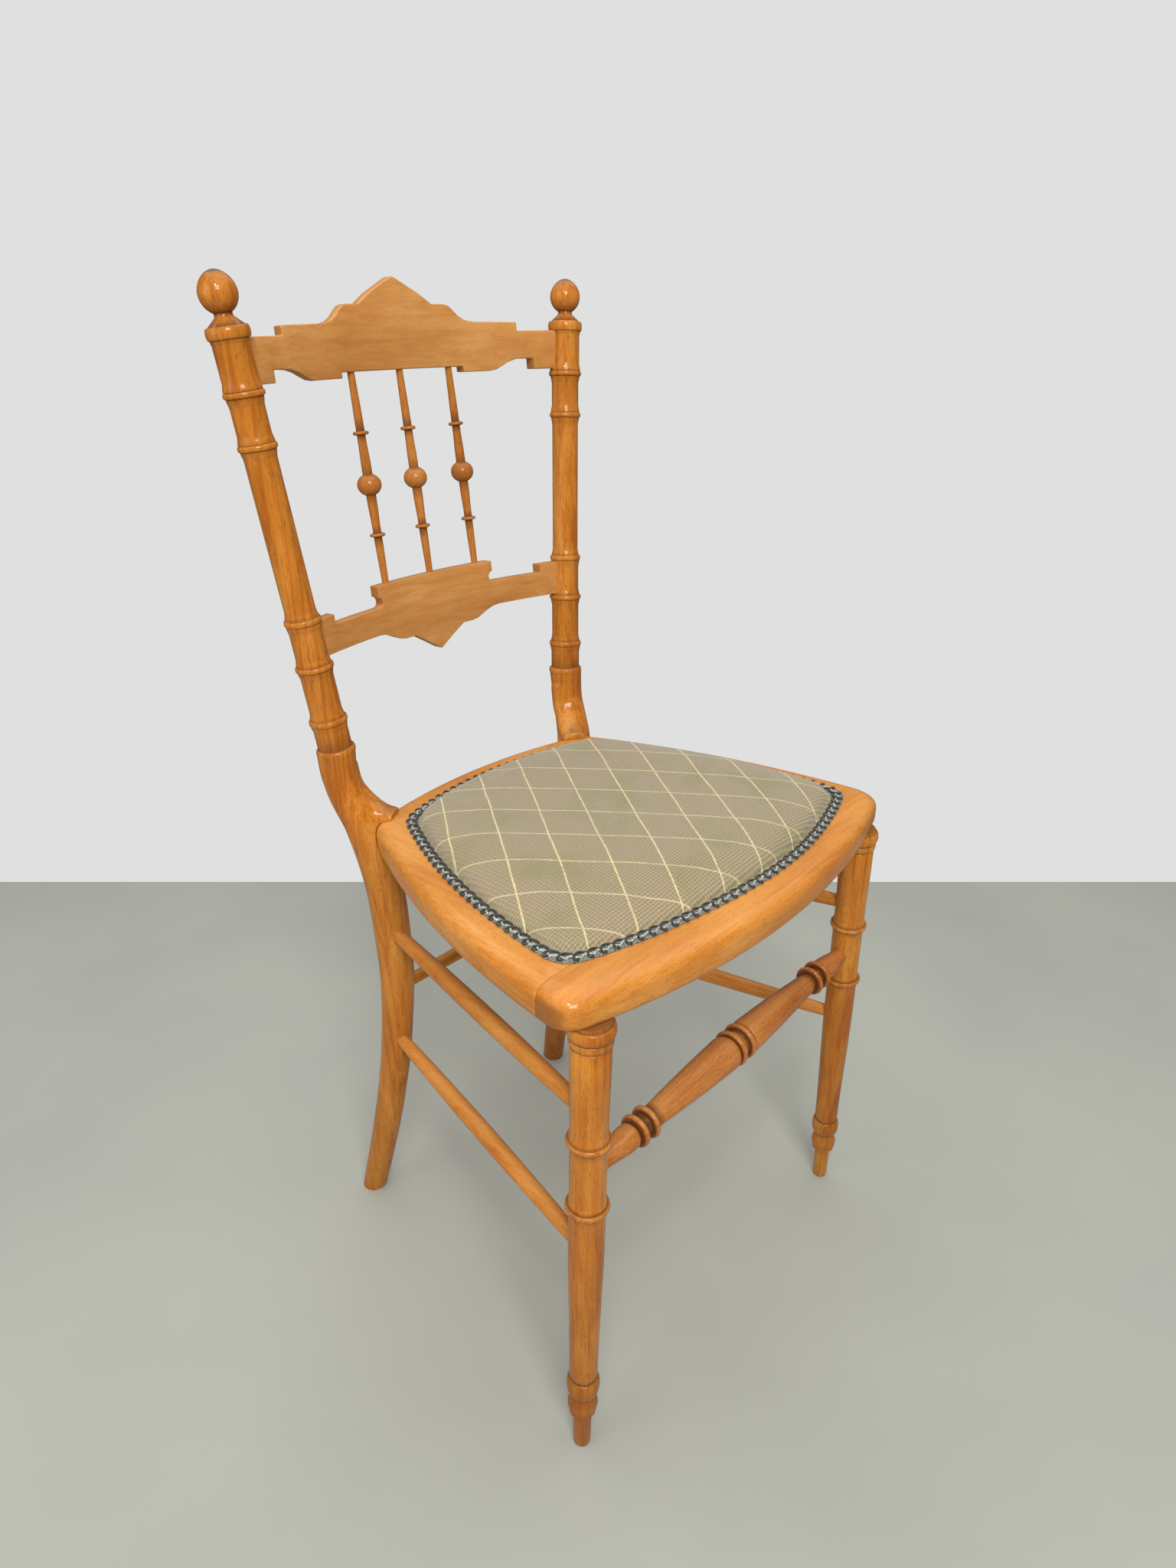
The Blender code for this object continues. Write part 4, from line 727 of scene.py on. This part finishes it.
def bentBar(name, stations):
    # a smooth curve through the stations, round in section, made a mesh
    bar = startPiece(name, bpy.ops.curve.primitive_bezier_curve_add)
    knots = bar.data.splines[0].bezier_points
    knots.add(len(stations) - 2)
    for knot, (point, radius) in zip(knots, stations):
        knot.co, knot.radius = point, radius
        knot.handle_left_type = knot.handle_right_type = "AUTO"
    bar.data.bevel_depth = 1.0
    bar.data.bevel_resolution = 10
    bar.data.resolution_u = 16
    bar.data.use_fill_caps = True
    pickOnly(bar)
    bpy.ops.object.convert(target="MESH")
    closeUp(bar)
    return bar


def bentLeg():
    # the steamed lower part with the tongue that laps onto the seat's corner, blended as one piece of wood
    stations = [(Vector((post["x"] - inward, post["y"] - forward, height)), radius)
                for height, inward, forward, radius in post["bend"]]
    start, after = stations[0][0], stations[1][0]
    stations.insert(0, (start - (after - start) * 0.08, stations[0][1]))   # below the floor, to be sawn level
    stations.append((postPoint(0.0), post["shoulderRadius"]))
    leg = bentBar("rearPostRight", stations)
    onSeat, aim = postPoint(seat["top"] - post["shoulder"]), post["lipAim"]
    tongue = bentBar("tongue", [(onSeat + aim * reach + Vector((0, 0, rise)), radius)
                                for reach, rise, radius in post["lip"]])
    aside = Vector((-aim.y, aim.x, 0.0))
    for vertex in tongue.data.vertices:   # the tongue is wider than it is thick
        vertex.co += aside * ((vertex.co - onSeat).dot(aside) * post["lipWider"])
    joinTo(leg, tongue)
    useModifier(leg, "REMESH", mode="VOXEL", voxel_size=post["voxel"], adaptivity=0.0)
    useModifier(leg, "SMOOTH", factor=0.5, iterations=6)
    cutAway(leg, (0, 0, 0), (0, 0, -1))
    return leg


def postOutline():
    shoulder, collar, neck, last = post["shoulderRadius"], post["collar"], post["neck"], post["shafts"][-1]
    points = [(shoulder, -0.004), (shoulder + 0.0002, -0.0015), (shoulder - 0.0003, 0.0),
              (shoulder - 0.0012, 0.0008), (post["shafts"][0], 0.0011)]
    for height, radius, below, above in zip(
            post["ringHeights"], post["ringRadii"], post["shafts"], post["shafts"][1:]):
        points += bambooRing(height, radius, below, above)
    low, high = (last, collar - 0.0075), (last + 0.0008, collar - 0.0045)
    points += [low] + easeBetween(low, high, 3)
    points += beadAt(collar, post["collarRadius"], post["collarHalf"], last + 0.0006, 10)
    points += [(0.0128, collar + 0.0045), (neck + 0.0005, collar + 0.0098), (neck, collar + 0.0110)]
    middle, size = post["finial"], post["finialRadius"]
    for radius, height in ballAt(middle, size, neck, post["finialTip"], post["finialTall"]):
        above = max(0.0, (height - middle) / size)
        points.append((radius, height + post["finialPoint"] * above ** 4))   # the knob comes to a faint point
    stretch = math.sqrt(1 + post["splay"] ** 2 + post["rake"] ** 2)
    return [(radius, height * stretch) for radius, height in points]


rearPostRight = bentLeg()
notch = seatBlank("notch", post["notchGap"])
useModifier(rearPostRight, "BOOLEAN", operation="DIFFERENCE", solver="EXACT", object=notch)
bpy.data.objects.remove(notch)
joinTo(rearPostRight, turnOnLathe("upper", postOutline(), postPoint(0.0), postPoint(post["finial"])))
softShade(rearPostRight, 45)
rearPostLeft = copyOf(rearPostRight, "rearPostLeft", mirror=True)
softShade(rearPostLeft, 45)
finishPiece(rearPostRight, "rear_post_right", wood["Z"])
finishPiece(rearPostLeft, "rear_post_left", wood["Z"])
print("rear posts bent and turned")


# back boards

def arcOf(centre, radius, start, end, steps=10):
    angles = [math.radians(start + (end - start) * step / steps) for step in range(steps + 1)]
    return [(centre[0] + radius * math.cos(angle), centre[1] + radius * math.sin(angle)) for angle in angles]


# each board's edges run from its middle out to the post along the top, and back along the underside
crest = {
    "rise": 0.297, "bow": 0.034, "thickness": 0.0105,
    "top": [(0.0, 0.058), (0.004, 0.0563), (0.012, 0.0522), (0.025, 0.0457), (0.033, 0.0405),
            (0.0372, 0.0377), (0.040, 0.0374), (0.050, 0.0375), (0.0545, 0.0362), (0.059, 0.0325),
            (0.063, 0.0288), (0.068, 0.0258), (0.074, 0.0242), (0.082, 0.0235), (0.121, 0.023),
            (0.121, 0.016)],
    "under": [(0.135, -0.016), (0.135, -0.007), (0.124, -0.007), (0.1175, -0.0076), (0.110, -0.0098),
              (0.1035, -0.0130), (0.098, -0.0155), (0.092, -0.0165), (0.064, -0.0165), (0.064, -0.012),
              (0.0, -0.012)],
}
lowerRail = {
    "rise": 0.0915, "bow": 0.0243, "thickness": 0.0105,
    "top": [(0.0, 0.0255), (0.066, 0.0255), (0.066, 0.0165)] + arcOf((0.0665, 0.0115), 0.0047, 100, 262)
    + [(0.119, 0.0067), (0.119, 0.0150)],
    "under": [(0.070, -0.0155), (0.064, -0.0163), (0.057, -0.0188), (0.050, -0.0222), (0.045, -0.0245),
              (0.039, -0.0255), (0.0285, -0.0255), (0.014, -0.0345), (0.0, -0.0435)],
}
boardRows = 40   # rows of points that a board is bowed on


def sawBoard(name, board):
    middle, lean = postPoint(board["rise"]), math.atan(post["rake"])
    span, bow, thickness = middle.x, board["bow"], board["thickness"]
    top, under = board["top"], board["under"]
    radius = (span ** 2 + bow ** 2) / (2 * bow)
    right = top + [(span, top[-1][1]), (span, under[0][1])] + under
    outline = right + [(-x, z) for x, z in reversed(right) if x > 0]

    def bowed(x, y, z):  # the flat board's point, moved back by the bow and up by the lean
        depth = math.sqrt(radius ** 2 - x ** 2) - (radius - bow)
        return Vector((x, y + depth, (z + depth * math.sin(lean)) / math.cos(lean)))

    piece = drawOutline(name, [Vector((x, -thickness / 2, z)) for x, z in outline])
    bpy.ops.mesh.edge_face_add()
    bpy.ops.mesh.extrude_region_move(TRANSFORM_OT_translate={"value": (0, thickness, 0)})
    leaveEdit()
    closeUp(piece)
    easeEdges(piece, 0.0011, 3, 40)
    editAll(piece)
    for step in range(1, boardRows):
        bpy.ops.mesh.select_all(action="SELECT")
        bpy.ops.mesh.bisect(plane_co=(span * (2 * step / boardRows - 1), 0, 0), plane_no=(1, 0, 0))
    leaveEdit()
    for vertex in piece.data.vertices:
        vertex.co = bowed(*vertex.co)
    place = Matrix.Translation((0, middle.y, middle.z)) @ Matrix.Rotation(-lean, 4, "X")
    putInPlace(piece, place)
    closeUp(piece)
    softShade(piece, 30)
    return piece, lambda x, z: place @ bowed(x, 0.0, z)


crestRail, crestPoint = sawBoard("crestRail", crest)
lowerBackRail, lowerPoint = sawBoard("lowerBackRail", lowerRail)
finishPiece(crestRail, "crest_rail", boardWood)
finishPiece(lowerBackRail, "lower_back_rail", boardWood)
print("back boards sawn and bowed")


# spindles

spindle = {"spacing": 0.0515, "end": 0.0028, "waist": 0.0041, "rootShare": 0.85, "tenon": 0.007,
           "ball": 0.0101, "ballTall": 0.9, "ballDrop": 0.003, "ballReach": 0.014,
           "disc": 0.0066, "discHalf": 0.0016, "discReach": 0.004, "discSpacing": 0.041,
           "grooveShadeReach": 0.0016}


def spindleOutline(length):
    middle = length / 2 - spindle["ballDrop"]
    end, waist, root = spindle["end"], spindle["waist"], spindle["waist"] * spindle["rootShare"]
    disc, half, reach, ball = spindle["disc"], spindle["discHalf"], spindle["discReach"], spindle["ballReach"]
    lower, upper = middle - spindle["discSpacing"], middle + spindle["discSpacing"]
    points = [(end, 0.0)] + easeBetween((end, 0.0), (root, lower - reach), 6)
    points += beadAt(lower, disc, half, root)
    points += easeBetween((root, lower + reach), (waist, middle - ball), 6)
    points += ballAt(middle, spindle["ball"], waist, waist, spindle["ballTall"])
    points += easeBetween((waist, middle + ball), (root, upper - reach), 6)
    points += beadAt(upper, disc, half, root)
    return points + easeBetween((root, upper + reach), (end, length), 6) + [(end, length)]


for word, x in (("Left", -spindle["spacing"]), ("Centre", 0.0), ("Right", spindle["spacing"])):
    foot = lowerPoint(x, lowerRail["top"][0][1] - spindle["tenon"])
    head = crestPoint(x, crest["under"][-1][1] + spindle["tenon"])
    rod = turnOnLathe("backSpindle" + word, spindleOutline((head - foot).length), foot, head,
                      32, spindle["grooveShadeReach"])
    finishPiece(rod, "back_spindle_" + word.lower(), spindleWood)
print("spindles turned")


# stretchers

stretcher = {
    "levels": {"Upper": (0.344, 0.333), "Lower": (0.2153, 0.2088)},   # height at the front, at the rear
    "sideRadius": 0.0078, "sideEnd": 0.0055, "rearHeight": 0.263, "rearRadius": 0.0068, "rearEnd": 0.0053,
    "frontHeight": 0.2915, "frontEnd": 0.0066, "groupX": 0.124, "groupPitch": 0.0125,
    "balusterOuter": 0.0090, "balusterInner": 0.0147, "belly": 0.0006, "bellySteps": 14,
    "outerRing": 0.0134, "innerRing": 0.0158, "ringHalf": 0.0030,
    "neck": 0.0122, "coveShare": 0.86, "coveHalf": 0.0012, "bulb": 0.0105, "bulbEnd": 0.0073,
}


def rearLegPoint(height):
    path = [(h, i, f) for h, i, f, r in post["bend"]]
    for low, high in zip(path, path[1:]):
        if low[0] <= height <= high[0]:
            t = (height - low[0]) / (high[0] - low[0])
            inward, forward = low[1] + (high[1] - low[1]) * t, low[2] + (high[2] - low[2]) * t
            return Vector((post["x"] - inward, post["y"] - forward, height))


def swellingBar(length, end, middle, steps=32):
    places = [step / steps for step in range(steps + 1)]
    return [(end + (middle - end) * math.sin(math.pi * t) ** 0.8, length * t) for t in places]


def frontStretcherOutline(length):
    # half of it, from the middle: ring, a vase that thins outwards, two rings, a bulb that tapers to the leg
    pitch, group, half = stretcher["groupPitch"] / 2, stretcher["groupX"], stretcher["ringHalf"]
    inner, outer, neck = stretcher["balusterInner"], stretcher["balusterOuter"], stretcher["neck"]
    bulb, end, cove = stretcher["bulb"], stretcher["frontEnd"], stretcher["coveHalf"]
    coveRadius = outer * stretcher["coveShare"]

    def shoulder(start, end, tall, height):   # a quarter round from a narrow neck to the full width
        angles = [math.pi / 16 * step for step in range(9)]
        return [(start + (end - start) * math.sin(angle), height + tall * (1 - math.cos(angle)))
                for angle in angles]

    right = [(neck - 0.0006, 0.0), (neck - 0.0006, cove)]
    right += beadAt(pitch, stretcher["innerRing"], half, neck)
    right += shoulder(neck, inner, 0.0062, pitch + 0.0042)
    first, last = pitch + 0.0104, group - pitch - 0.0050
    for step in range(1, stretcher["bellySteps"] + 1):   # nearly straight, with a little belly
        t = step / stretcher["bellySteps"]
        swell = stretcher["belly"] * math.sin(math.pi * t)
        right.append((inner + (outer - inner) * t + swell, first + (last - first) * t))
    right += beadAt(group - pitch, stretcher["outerRing"], half, coveRadius + 0.001)
    right += [(coveRadius, group - cove), (coveRadius, group + cove)]
    right += beadAt(group + pitch, stretcher["outerRing"], half, coveRadius + 0.001)
    right += shoulder(coveRadius, bulb, 0.0052, group + pitch + 0.0040)
    full, thin = (bulb, group + pitch + 0.0092), (stretcher["bulbEnd"], length / 2 - 0.0128)
    right += easeBetween(full, thin, 8) + [thin, (end, length / 2 - 0.0120), (end, length / 2)]
    left = [(radius, -height) for radius, height in reversed(right[1:])]
    return [(radius, height + length / 2) for radius, height in left + right]


for level, (frontHeight, rearHeight) in stretcher["levels"].items():
    start, end = legPoint(frontHeight), rearLegPoint(rearHeight)
    outline = swellingBar((end - start).length, stretcher["sideEnd"], stretcher["sideRadius"])
    for word, side in (("Left", mirrored), ("Right", Vector)):
        bar = turnOnLathe("sideStretcher" + level + word, outline, side(start), side(end), 32)
        finishPiece(bar, "side_stretcher_%s_%s" % (level.lower(), word.lower()), wood["Y"])

rearEnd = rearLegPoint(stretcher["rearHeight"])
rearOutline = swellingBar(2 * rearEnd.x, stretcher["rearEnd"], stretcher["rearRadius"])
rearBar = turnOnLathe("rearStretcher", rearOutline, mirrored(rearEnd), rearEnd, 32)
finishPiece(rearBar, "rear_stretcher", wood["X"])

barEnd = legPoint(stretcher["frontHeight"])
frontBar = turnOnLathe("frontStretcher", frontStretcherOutline(2 * barEnd.x), mirrored(barEnd), barEnd)
# the front stretcher gets the darker copy of the beech, painted shade
finishPiece(frontBar, "front_stretcher", shadedStretcherWood)
print("stretchers turned")


# upholstery

pad = {
    "gimpMargin": 0.0200, "gimpWidth": 0.0108, "turnIn": 0.003, "seatCentreY": -0.031, "overFrame": 0.0002,
    "crownStart": 0.0160, "crownFall": 12.0, "crownRound": 0.45,   # height, and the shape of its edge
    "trimRight": 0.005, "trimIn": 0.006,                   # how far the braid strays from an even margin
    "frontY": -0.08, "frontOver": 0.05, "leftX": 0.08, "acrossOver": 0.16,   # where it strays
    "sunk": 0.5, "sinkAim": (-0.74, -0.67), "sinkStart": 0.0901, "sinkOver": 0.11,
    "simFrames": 20, "pressure": 2.0, "mostMove": 0.0015,
    "stuffingBelow": 0.0026, "clothArea": 0.0885,
}


def towardsMiddle(points, share):
    centre = Vector((0.0, pad["seatCentreY"]))
    return [centre + (point - centre) * share for point in points]


def trimOutline(inset):
    # the hand-laid braid lies nearer the edge on the right and further in at the left of the front
    points = []
    for point in seatOutline(inset):
        inFront = (pad["frontY"] - point.y) / pad["frontOver"]
        onLeft = (pad["leftX"] - point.x) / pad["acrossOver"]
        points.append(Vector((point.x + pad["trimRight"] * easeIn(point.x / pad["acrossOver"]),
                              point.y + pad["trimIn"] * easeIn(inFront) * easeIn(onLeft))))
    return points


def settle(piece):
    # the stuffing has sunk at the left front corner
    aimX, aimY = pad["sinkAim"]
    for vertex in piece.data.vertices:
        along = aimX * vertex.co.x + aimY * vertex.co.y
        near = easeIn((along - pad["sinkStart"]) / pad["sinkOver"])
        vertex.co.z -= max(0.0, vertex.co.z - seat["top"]) * pad["sunk"] * near


def crowned(share):
    # the cloth's outline at this share of the way out from the middle, and its height over the seat
    crown = pad["crownStart"] * max(0.0, 1 - share ** pad["crownFall"]) ** pad["crownRound"]
    return towardsMiddle(edgeOutline, share), crown


def inFixedOrder(piece):
    # the cloth solver's result hangs on the order of points and faces, which the operators don't keep
    places = [vertex.co[:] for vertex in piece.data.vertices]
    rank = {place: number for number, place in enumerate(sorted(places))}
    faces = []
    for face in piece.data.polygons:
        corners = [rank[places[index]] for index in face.vertices]
        first = corners.index(min(corners))
        faces.append(corners[first:] + corners[:first])
    form = bmesh.new()
    points = [form.verts.new(place) for place in sorted(places)]
    for corners in sorted(faces):
        form.faces.new([points[index] for index in corners])
    form.to_mesh(piece.data)
    form.free()


def fillLoop():  # closes the loop that is still selected
    bpy.ops.object.mode_set(mode="EDIT")
    bpy.ops.mesh.edge_face_add()


edgeOutline = trimOutline(pad["gimpMargin"] + pad["gimpWidth"])
hemOutline = trimOutline(pad["gimpMargin"] + pad["turnIn"])
clothLow = seat["top"] + pad["overFrame"]
shares = [1.0, 0.994, 0.983, 0.965, 0.94, 0.91, 0.87, 0.82, 0.76] + [0.69 - 0.08 * step for step in range(9)]
coverLevels = [(hemOutline, clothLow)]
for share in shares:
    outline, crown = crowned(share)
    coverLevels.append((outline, clothLow + crown))
seatCover = sweepLoops("seatCover", coverLevels)
fillLoop()
bpy.ops.mesh.poke()
leaveEdit()
closeUp(seatCover)
settle(seatCover)
inFixedOrder(seatCover)
restCover = [vertex.co.copy() for vertex in seatCover.data.vertices]
tacked = seatCover.vertex_groups.new(name="tacked")
tacked.add([v.index for v in seatCover.data.vertices if v.co.z < clothLow + 0.0002], 1.0, "REPLACE")
pickOnly(seatCover)
clothing = seatCover.modifiers.new("Stretch", "CLOTH")
clothing.settings.quality = 6
clothing.settings.mass = 0.25
clothing.settings.tension_stiffness = 40
clothing.settings.compression_stiffness = 40
clothing.settings.bending_stiffness = 2.0
clothing.settings.use_pressure = True
clothing.settings.uniform_pressure_force = pad["pressure"]
clothing.settings.vertex_group_mass = "tacked"
clothing.settings.effector_weights.gravity = 0.0
for number in range(1, pad["simFrames"] + 1):
    bpy.context.scene.frame_set(number)
bpy.ops.object.modifier_apply(modifier=clothing.name)
bpy.context.scene.frame_set(1)
for vertex, rest in zip(seatCover.data.vertices, restCover):
    rise = min(pad["mostMove"], max(0.0, vertex.co.z - rest.z))   # the stuffing holds it up
    vertex.co = rest + Vector((0.0, 0.0, rise))
useModifier(seatCover, "SUBSURF", levels=1, render_levels=1)
softShade(seatCover, 80)
finishPiece(seatCover, "seat_cover", seatCloth)

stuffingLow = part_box("seat_stuffing")[0].z
stuffingLevels = [(towardsMiddle(edgeOutline, s), stuffingLow) for s in (0.12, 0.5, 0.955)]
for share in shares[4:]:
    outline, crown = crowned(share)
    stuffingLevels.append((outline, seat["top"] - pad["stuffingBelow"] + crown))
seatStuffing = sweepLoops("seatStuffing", stuffingLevels)
fillLoop()
bpy.ops.mesh.select_all(action="DESELECT")
bpy.ops.mesh.select_non_manifold()
bpy.ops.mesh.edge_face_add()
leaveEdit()
closeUp(seatStuffing)
settle(seatStuffing)
softShade(seatStuffing, 60)
finishPiece(seatStuffing, "seat_stuffing", looseFibre())
print("seat upholstered")

braid = {
    "pitch": 0.0100, "ground": 0.0011,
    "cord": 0.00092, "swing": 0.0042, "reach": 0.0036, "over": 0.0006, "cordLift": 0.8, "cordSteps": 26,
    "core": 0.0010, "coreSwing": 0.0012, "coreLift": 0.4, "coreSteps": 12,
    "groundEdge": [   # in from the margin, over the seat
        (0.0020, 0.0003), (0.0020, 0.0009), (0.0028, 0.0012), (0.0080, 0.0012), (0.0088, 0.0009),
        (0.0088, 0.0003), (0.0020, 0.0003)],
}


def runAlong(points):  # a closed outline's length, and the point and outward direction at a distance along it
    lengths = [0.0]
    for first, second in zip(points, points[1:] + points[:1]):
        lengths.append(lengths[-1] + (second - first).length)
    total = lengths[-1]

    def at(distance):
        distance = distance % total
        index = max(i for i in range(len(points)) if lengths[i] <= distance)
        first, second = points[index], points[(index + 1) % len(points)]
        share = (distance - lengths[index]) / (second - first).length
        course = (second - first).normalized()
        return first.lerp(second, share), Vector((course.y, -course.x))
    return total, at


total, braidAt = runAlong(trimOutline(pad["gimpMargin"] + pad["gimpWidth"] / 2))
motifs = round(total / braid["pitch"])


def cordPath(steps, sway, reach, lift, over):
    # a cord's points as it runs on: sway takes it from side to side, reach turns that into loops that overlap
    points = []
    for step in range(motifs * steps):
        turn = math.tau * step / steps
        point, outward = braidAt(total * (turn / math.tau) / motifs - reach * math.sin(turn))
        spot = point + outward * sway(turn)
        points.append(Vector((spot.x, spot.y, seat["top"] + braid["ground"] + lift + over * math.sin(turn))))
    return points


def closedCord(name, points, radius):
    cord = startPiece(name, bpy.ops.curve.primitive_nurbs_circle_add)
    cord.data.splines.clear()
    spline = cord.data.splines.new("POLY")
    spline.points.add(len(points) - 1)
    spline.use_cyclic_u = True
    for knot, point in zip(spline.points, points):
        knot.co = (*point, 1.0)
    cord.data.bevel_depth = radius
    cord.data.bevel_resolution = 1
    pickOnly(cord)
    bpy.ops.object.convert(target="MESH")
    closeUp(cord)
    softShade(cord, 80)
    return cord


loopPath = cordPath(braid["cordSteps"], lambda turn: braid["swing"] * math.cos(turn), braid["reach"],
                    braid["cord"] * braid["cordLift"], braid["over"])
# the core cord, coloured pale, is a painted highlight in the centre of each loop
coreHighlightPath = cordPath(braid["coreSteps"], lambda turn: braid["coreSwing"] * math.sin(turn), 0.0,
                    braid["core"] * braid["coreLift"], 0.0)
for word, points, radius in (("dark", loopPath, braid["cord"]), ("pale", coreHighlightPath, braid["core"])):
    cord = closedCord("gimpCord" + word.title(), points, radius)
    finishPiece(cord, "gimp_braid", braidFinish[word])
groundLevels = [(trimOutline(pad["gimpMargin"] + inset), seat["top"] + height)
                for inset, height in braid["groundEdge"]]
gimpGround = sweepLoops("gimpGround", groundLevels, True)
softShade(gimpGround, 50)
finishPiece(gimpGround, "gimp_braid", braidFinish["ground"])
print("braid laid,", motifs, "loops")

webbing = {"pitch": 0.062, "thick": 0.0009, "wave": 0.00035, "cuts": 40}


def layStrap(name, node, alongX, phase):
    # a flat strap that dips under and rises over each strap it crosses
    low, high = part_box(node)
    size, centre = high - low, (low + high) / 2
    strap = startPiece(name, bpy.ops.mesh.primitive_plane_add, size=1)
    strap.location, strap.scale = centre, (size.x, size.y, 1)
    bpy.ops.object.transform_apply(location=True, rotation=True, scale=True)
    editAll(strap)
    bpy.ops.mesh.subdivide(number_cuts=webbing["cuts"])
    leaveEdit()
    for vertex in strap.data.vertices:
        along = vertex.co.x if alongX else vertex.co.y - pad["seatCentreY"]
        vertex.co.z = centre.z + phase * webbing["wave"] * math.cos(math.pi * along / webbing["pitch"])
    useModifier(strap, "SOLIDIFY", thickness=webbing["thick"], offset=0)
    softShade(strap, 50)
    finishPiece(strap, node, strapJute)


for index, word in enumerate(("front", "middle", "rear")):
    layStrap("webbingCross" + word.title(), "webbing_cross_" + word, True, 1 if index % 2 else -1)
for index, word in enumerate(("left", "centre", "right")):
    layStrap("webbingLong" + word.title(), "webbing_long_" + word, False, -1 if index % 2 else 1)

low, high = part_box("base_cloth")
size = high - low
clothOutline = seatOutline(pad["gimpMargin"] + pad["turnIn"])
baseLevels = [(towardsMiddle(clothOutline, s), (low.z + high.z) / 2) for s in (1.0, 0.75, 0.5, 0.25)]
baseCloth = sweepLoops("baseCloth", baseLevels)
fillLoop()
leaveEdit()
useModifier(baseCloth, "SOLIDIFY", thickness=size.z, offset=0)
closeUp(baseCloth)
finishPiece(baseCloth, "base_cloth", hessian)
print("webbing laid")

# the hidden dowels and screws stay as they are and get their own finish
dowelWood, steel = rawBeech(), plainSteel()
for name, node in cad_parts.items():
    if "dowel" in name or "screw" in name:
        node.data.materials.clear()
        node.data.materials.append(steel if "screw" in name else dowelWood)


# stage, light and camera

studio = {"floor": ("A0A198", "A9AA9F"), "stain": 0.3333, "deep": 6, "wide": 4,
          "wall": "DFE0DF", "wallDistance": 1.414, "room": "F4F5F7", "roomLight": 0.40, "lessInGloss": -0.24}
view = {"place": (-0.575, -0.5285, 0.843), "aim": Vector((0.6729, 0.6044, -0.4266)), "focalPixels": 1315.7,
        "pictureTall": 2048}

forward = Vector((view["aim"].x, view["aim"].y, 0)).normalized()
aside = Vector((-forward.y, forward.x, 0))
foot = Vector((view["place"][0], view["place"][1], 0)) + forward * studio["wallDistance"]
floor = startPiece("floor", bpy.ops.mesh.primitive_plane_add, size=1)
deep, wide = studio["deep"], studio["wide"]
floorCorners = ((0, -wide), (0, wide), (-deep, -wide), (-deep, wide))
for vertex, (along, across) in zip(floor.data.vertices, floorCorners):
    vertex.co = foot + forward * along + aside * across
floor.data.materials.append(paintedConcrete(studio["floor"], studio["stain"]))
floor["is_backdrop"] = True

world = bpy.data.worlds.new("studio")
world.use_nodes = True
tree = world.node_tree
rays = addNode(tree, "LightPath")
dimmed = addNode(tree, "Math", {"operation": "MULTIPLY_ADD"}, {   # the room is dim in reflections
    0: rays.outputs["Is Glossy Ray"], 1: studio["lessInGloss"], 2: studio["roomLight"]})
background = tree.nodes["Background"]
setInputs(tree, background, {"Color": hexColor(studio["room"]), "Strength": dimmed})
wallLight = addNode(tree, "Background", None, {"Color": hexColor(studio["wall"]), "Strength": 1.0})
seen = addNode(tree, "Math", {"operation": "MAXIMUM"}, {
    0: rays.outputs["Is Camera Ray"], 1: rays.outputs["Is Transmission Ray"]})
chosen = addNode(tree, "MixShader", None, {
    0: seen, 1: background, 2: wallLight})
setInputs(tree, tree.nodes["World Output"], {"Surface": chosen})
bpy.context.scene.world = world

lamps = {   # place, what it faces, size in metres, watts
    "window": ((-1.2, -1.7, 2.0), (0, 0, 0.45), 0.9, 43),
    "ceiling": ((0.3, 0.3, 2.7), (0, 0, 0.3), 3.6, 46),
    "leftFill": ((-2.2, 0.4, 1.3), (0, 0, 0.5), 1.6, 13),
    "glint": ((-0.9, -0.75, 1.9), (0, 0, 0.45), 0.25, 7),
}
for name, (place, target, size, watts) in lamps.items():
    bpy.ops.object.light_add(type="AREA", location=place)
    lamp = bpy.context.object
    lamp.name = name
    lamp.data.size = size
    lamp.data.energy = watts
    lamp.rotation_euler = (Vector(target) - Vector(place)).to_track_quat("-Z", "Y").to_euler()

bpy.ops.object.camera_add(location=view["place"])
camera = bpy.context.object
camera.rotation_euler = view["aim"].to_track_quat("-Z", "Y").to_euler()
camera.data.sensor_width = 36
camera.data.lens = view["focalPixels"] / view["pictureTall"] * camera.data.sensor_width
camera.data.clip_start = 0.01
bpy.context.scene.camera = camera
bpy.context.scene.view_settings.view_transform = "Standard"

low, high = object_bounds()
print("stage set")
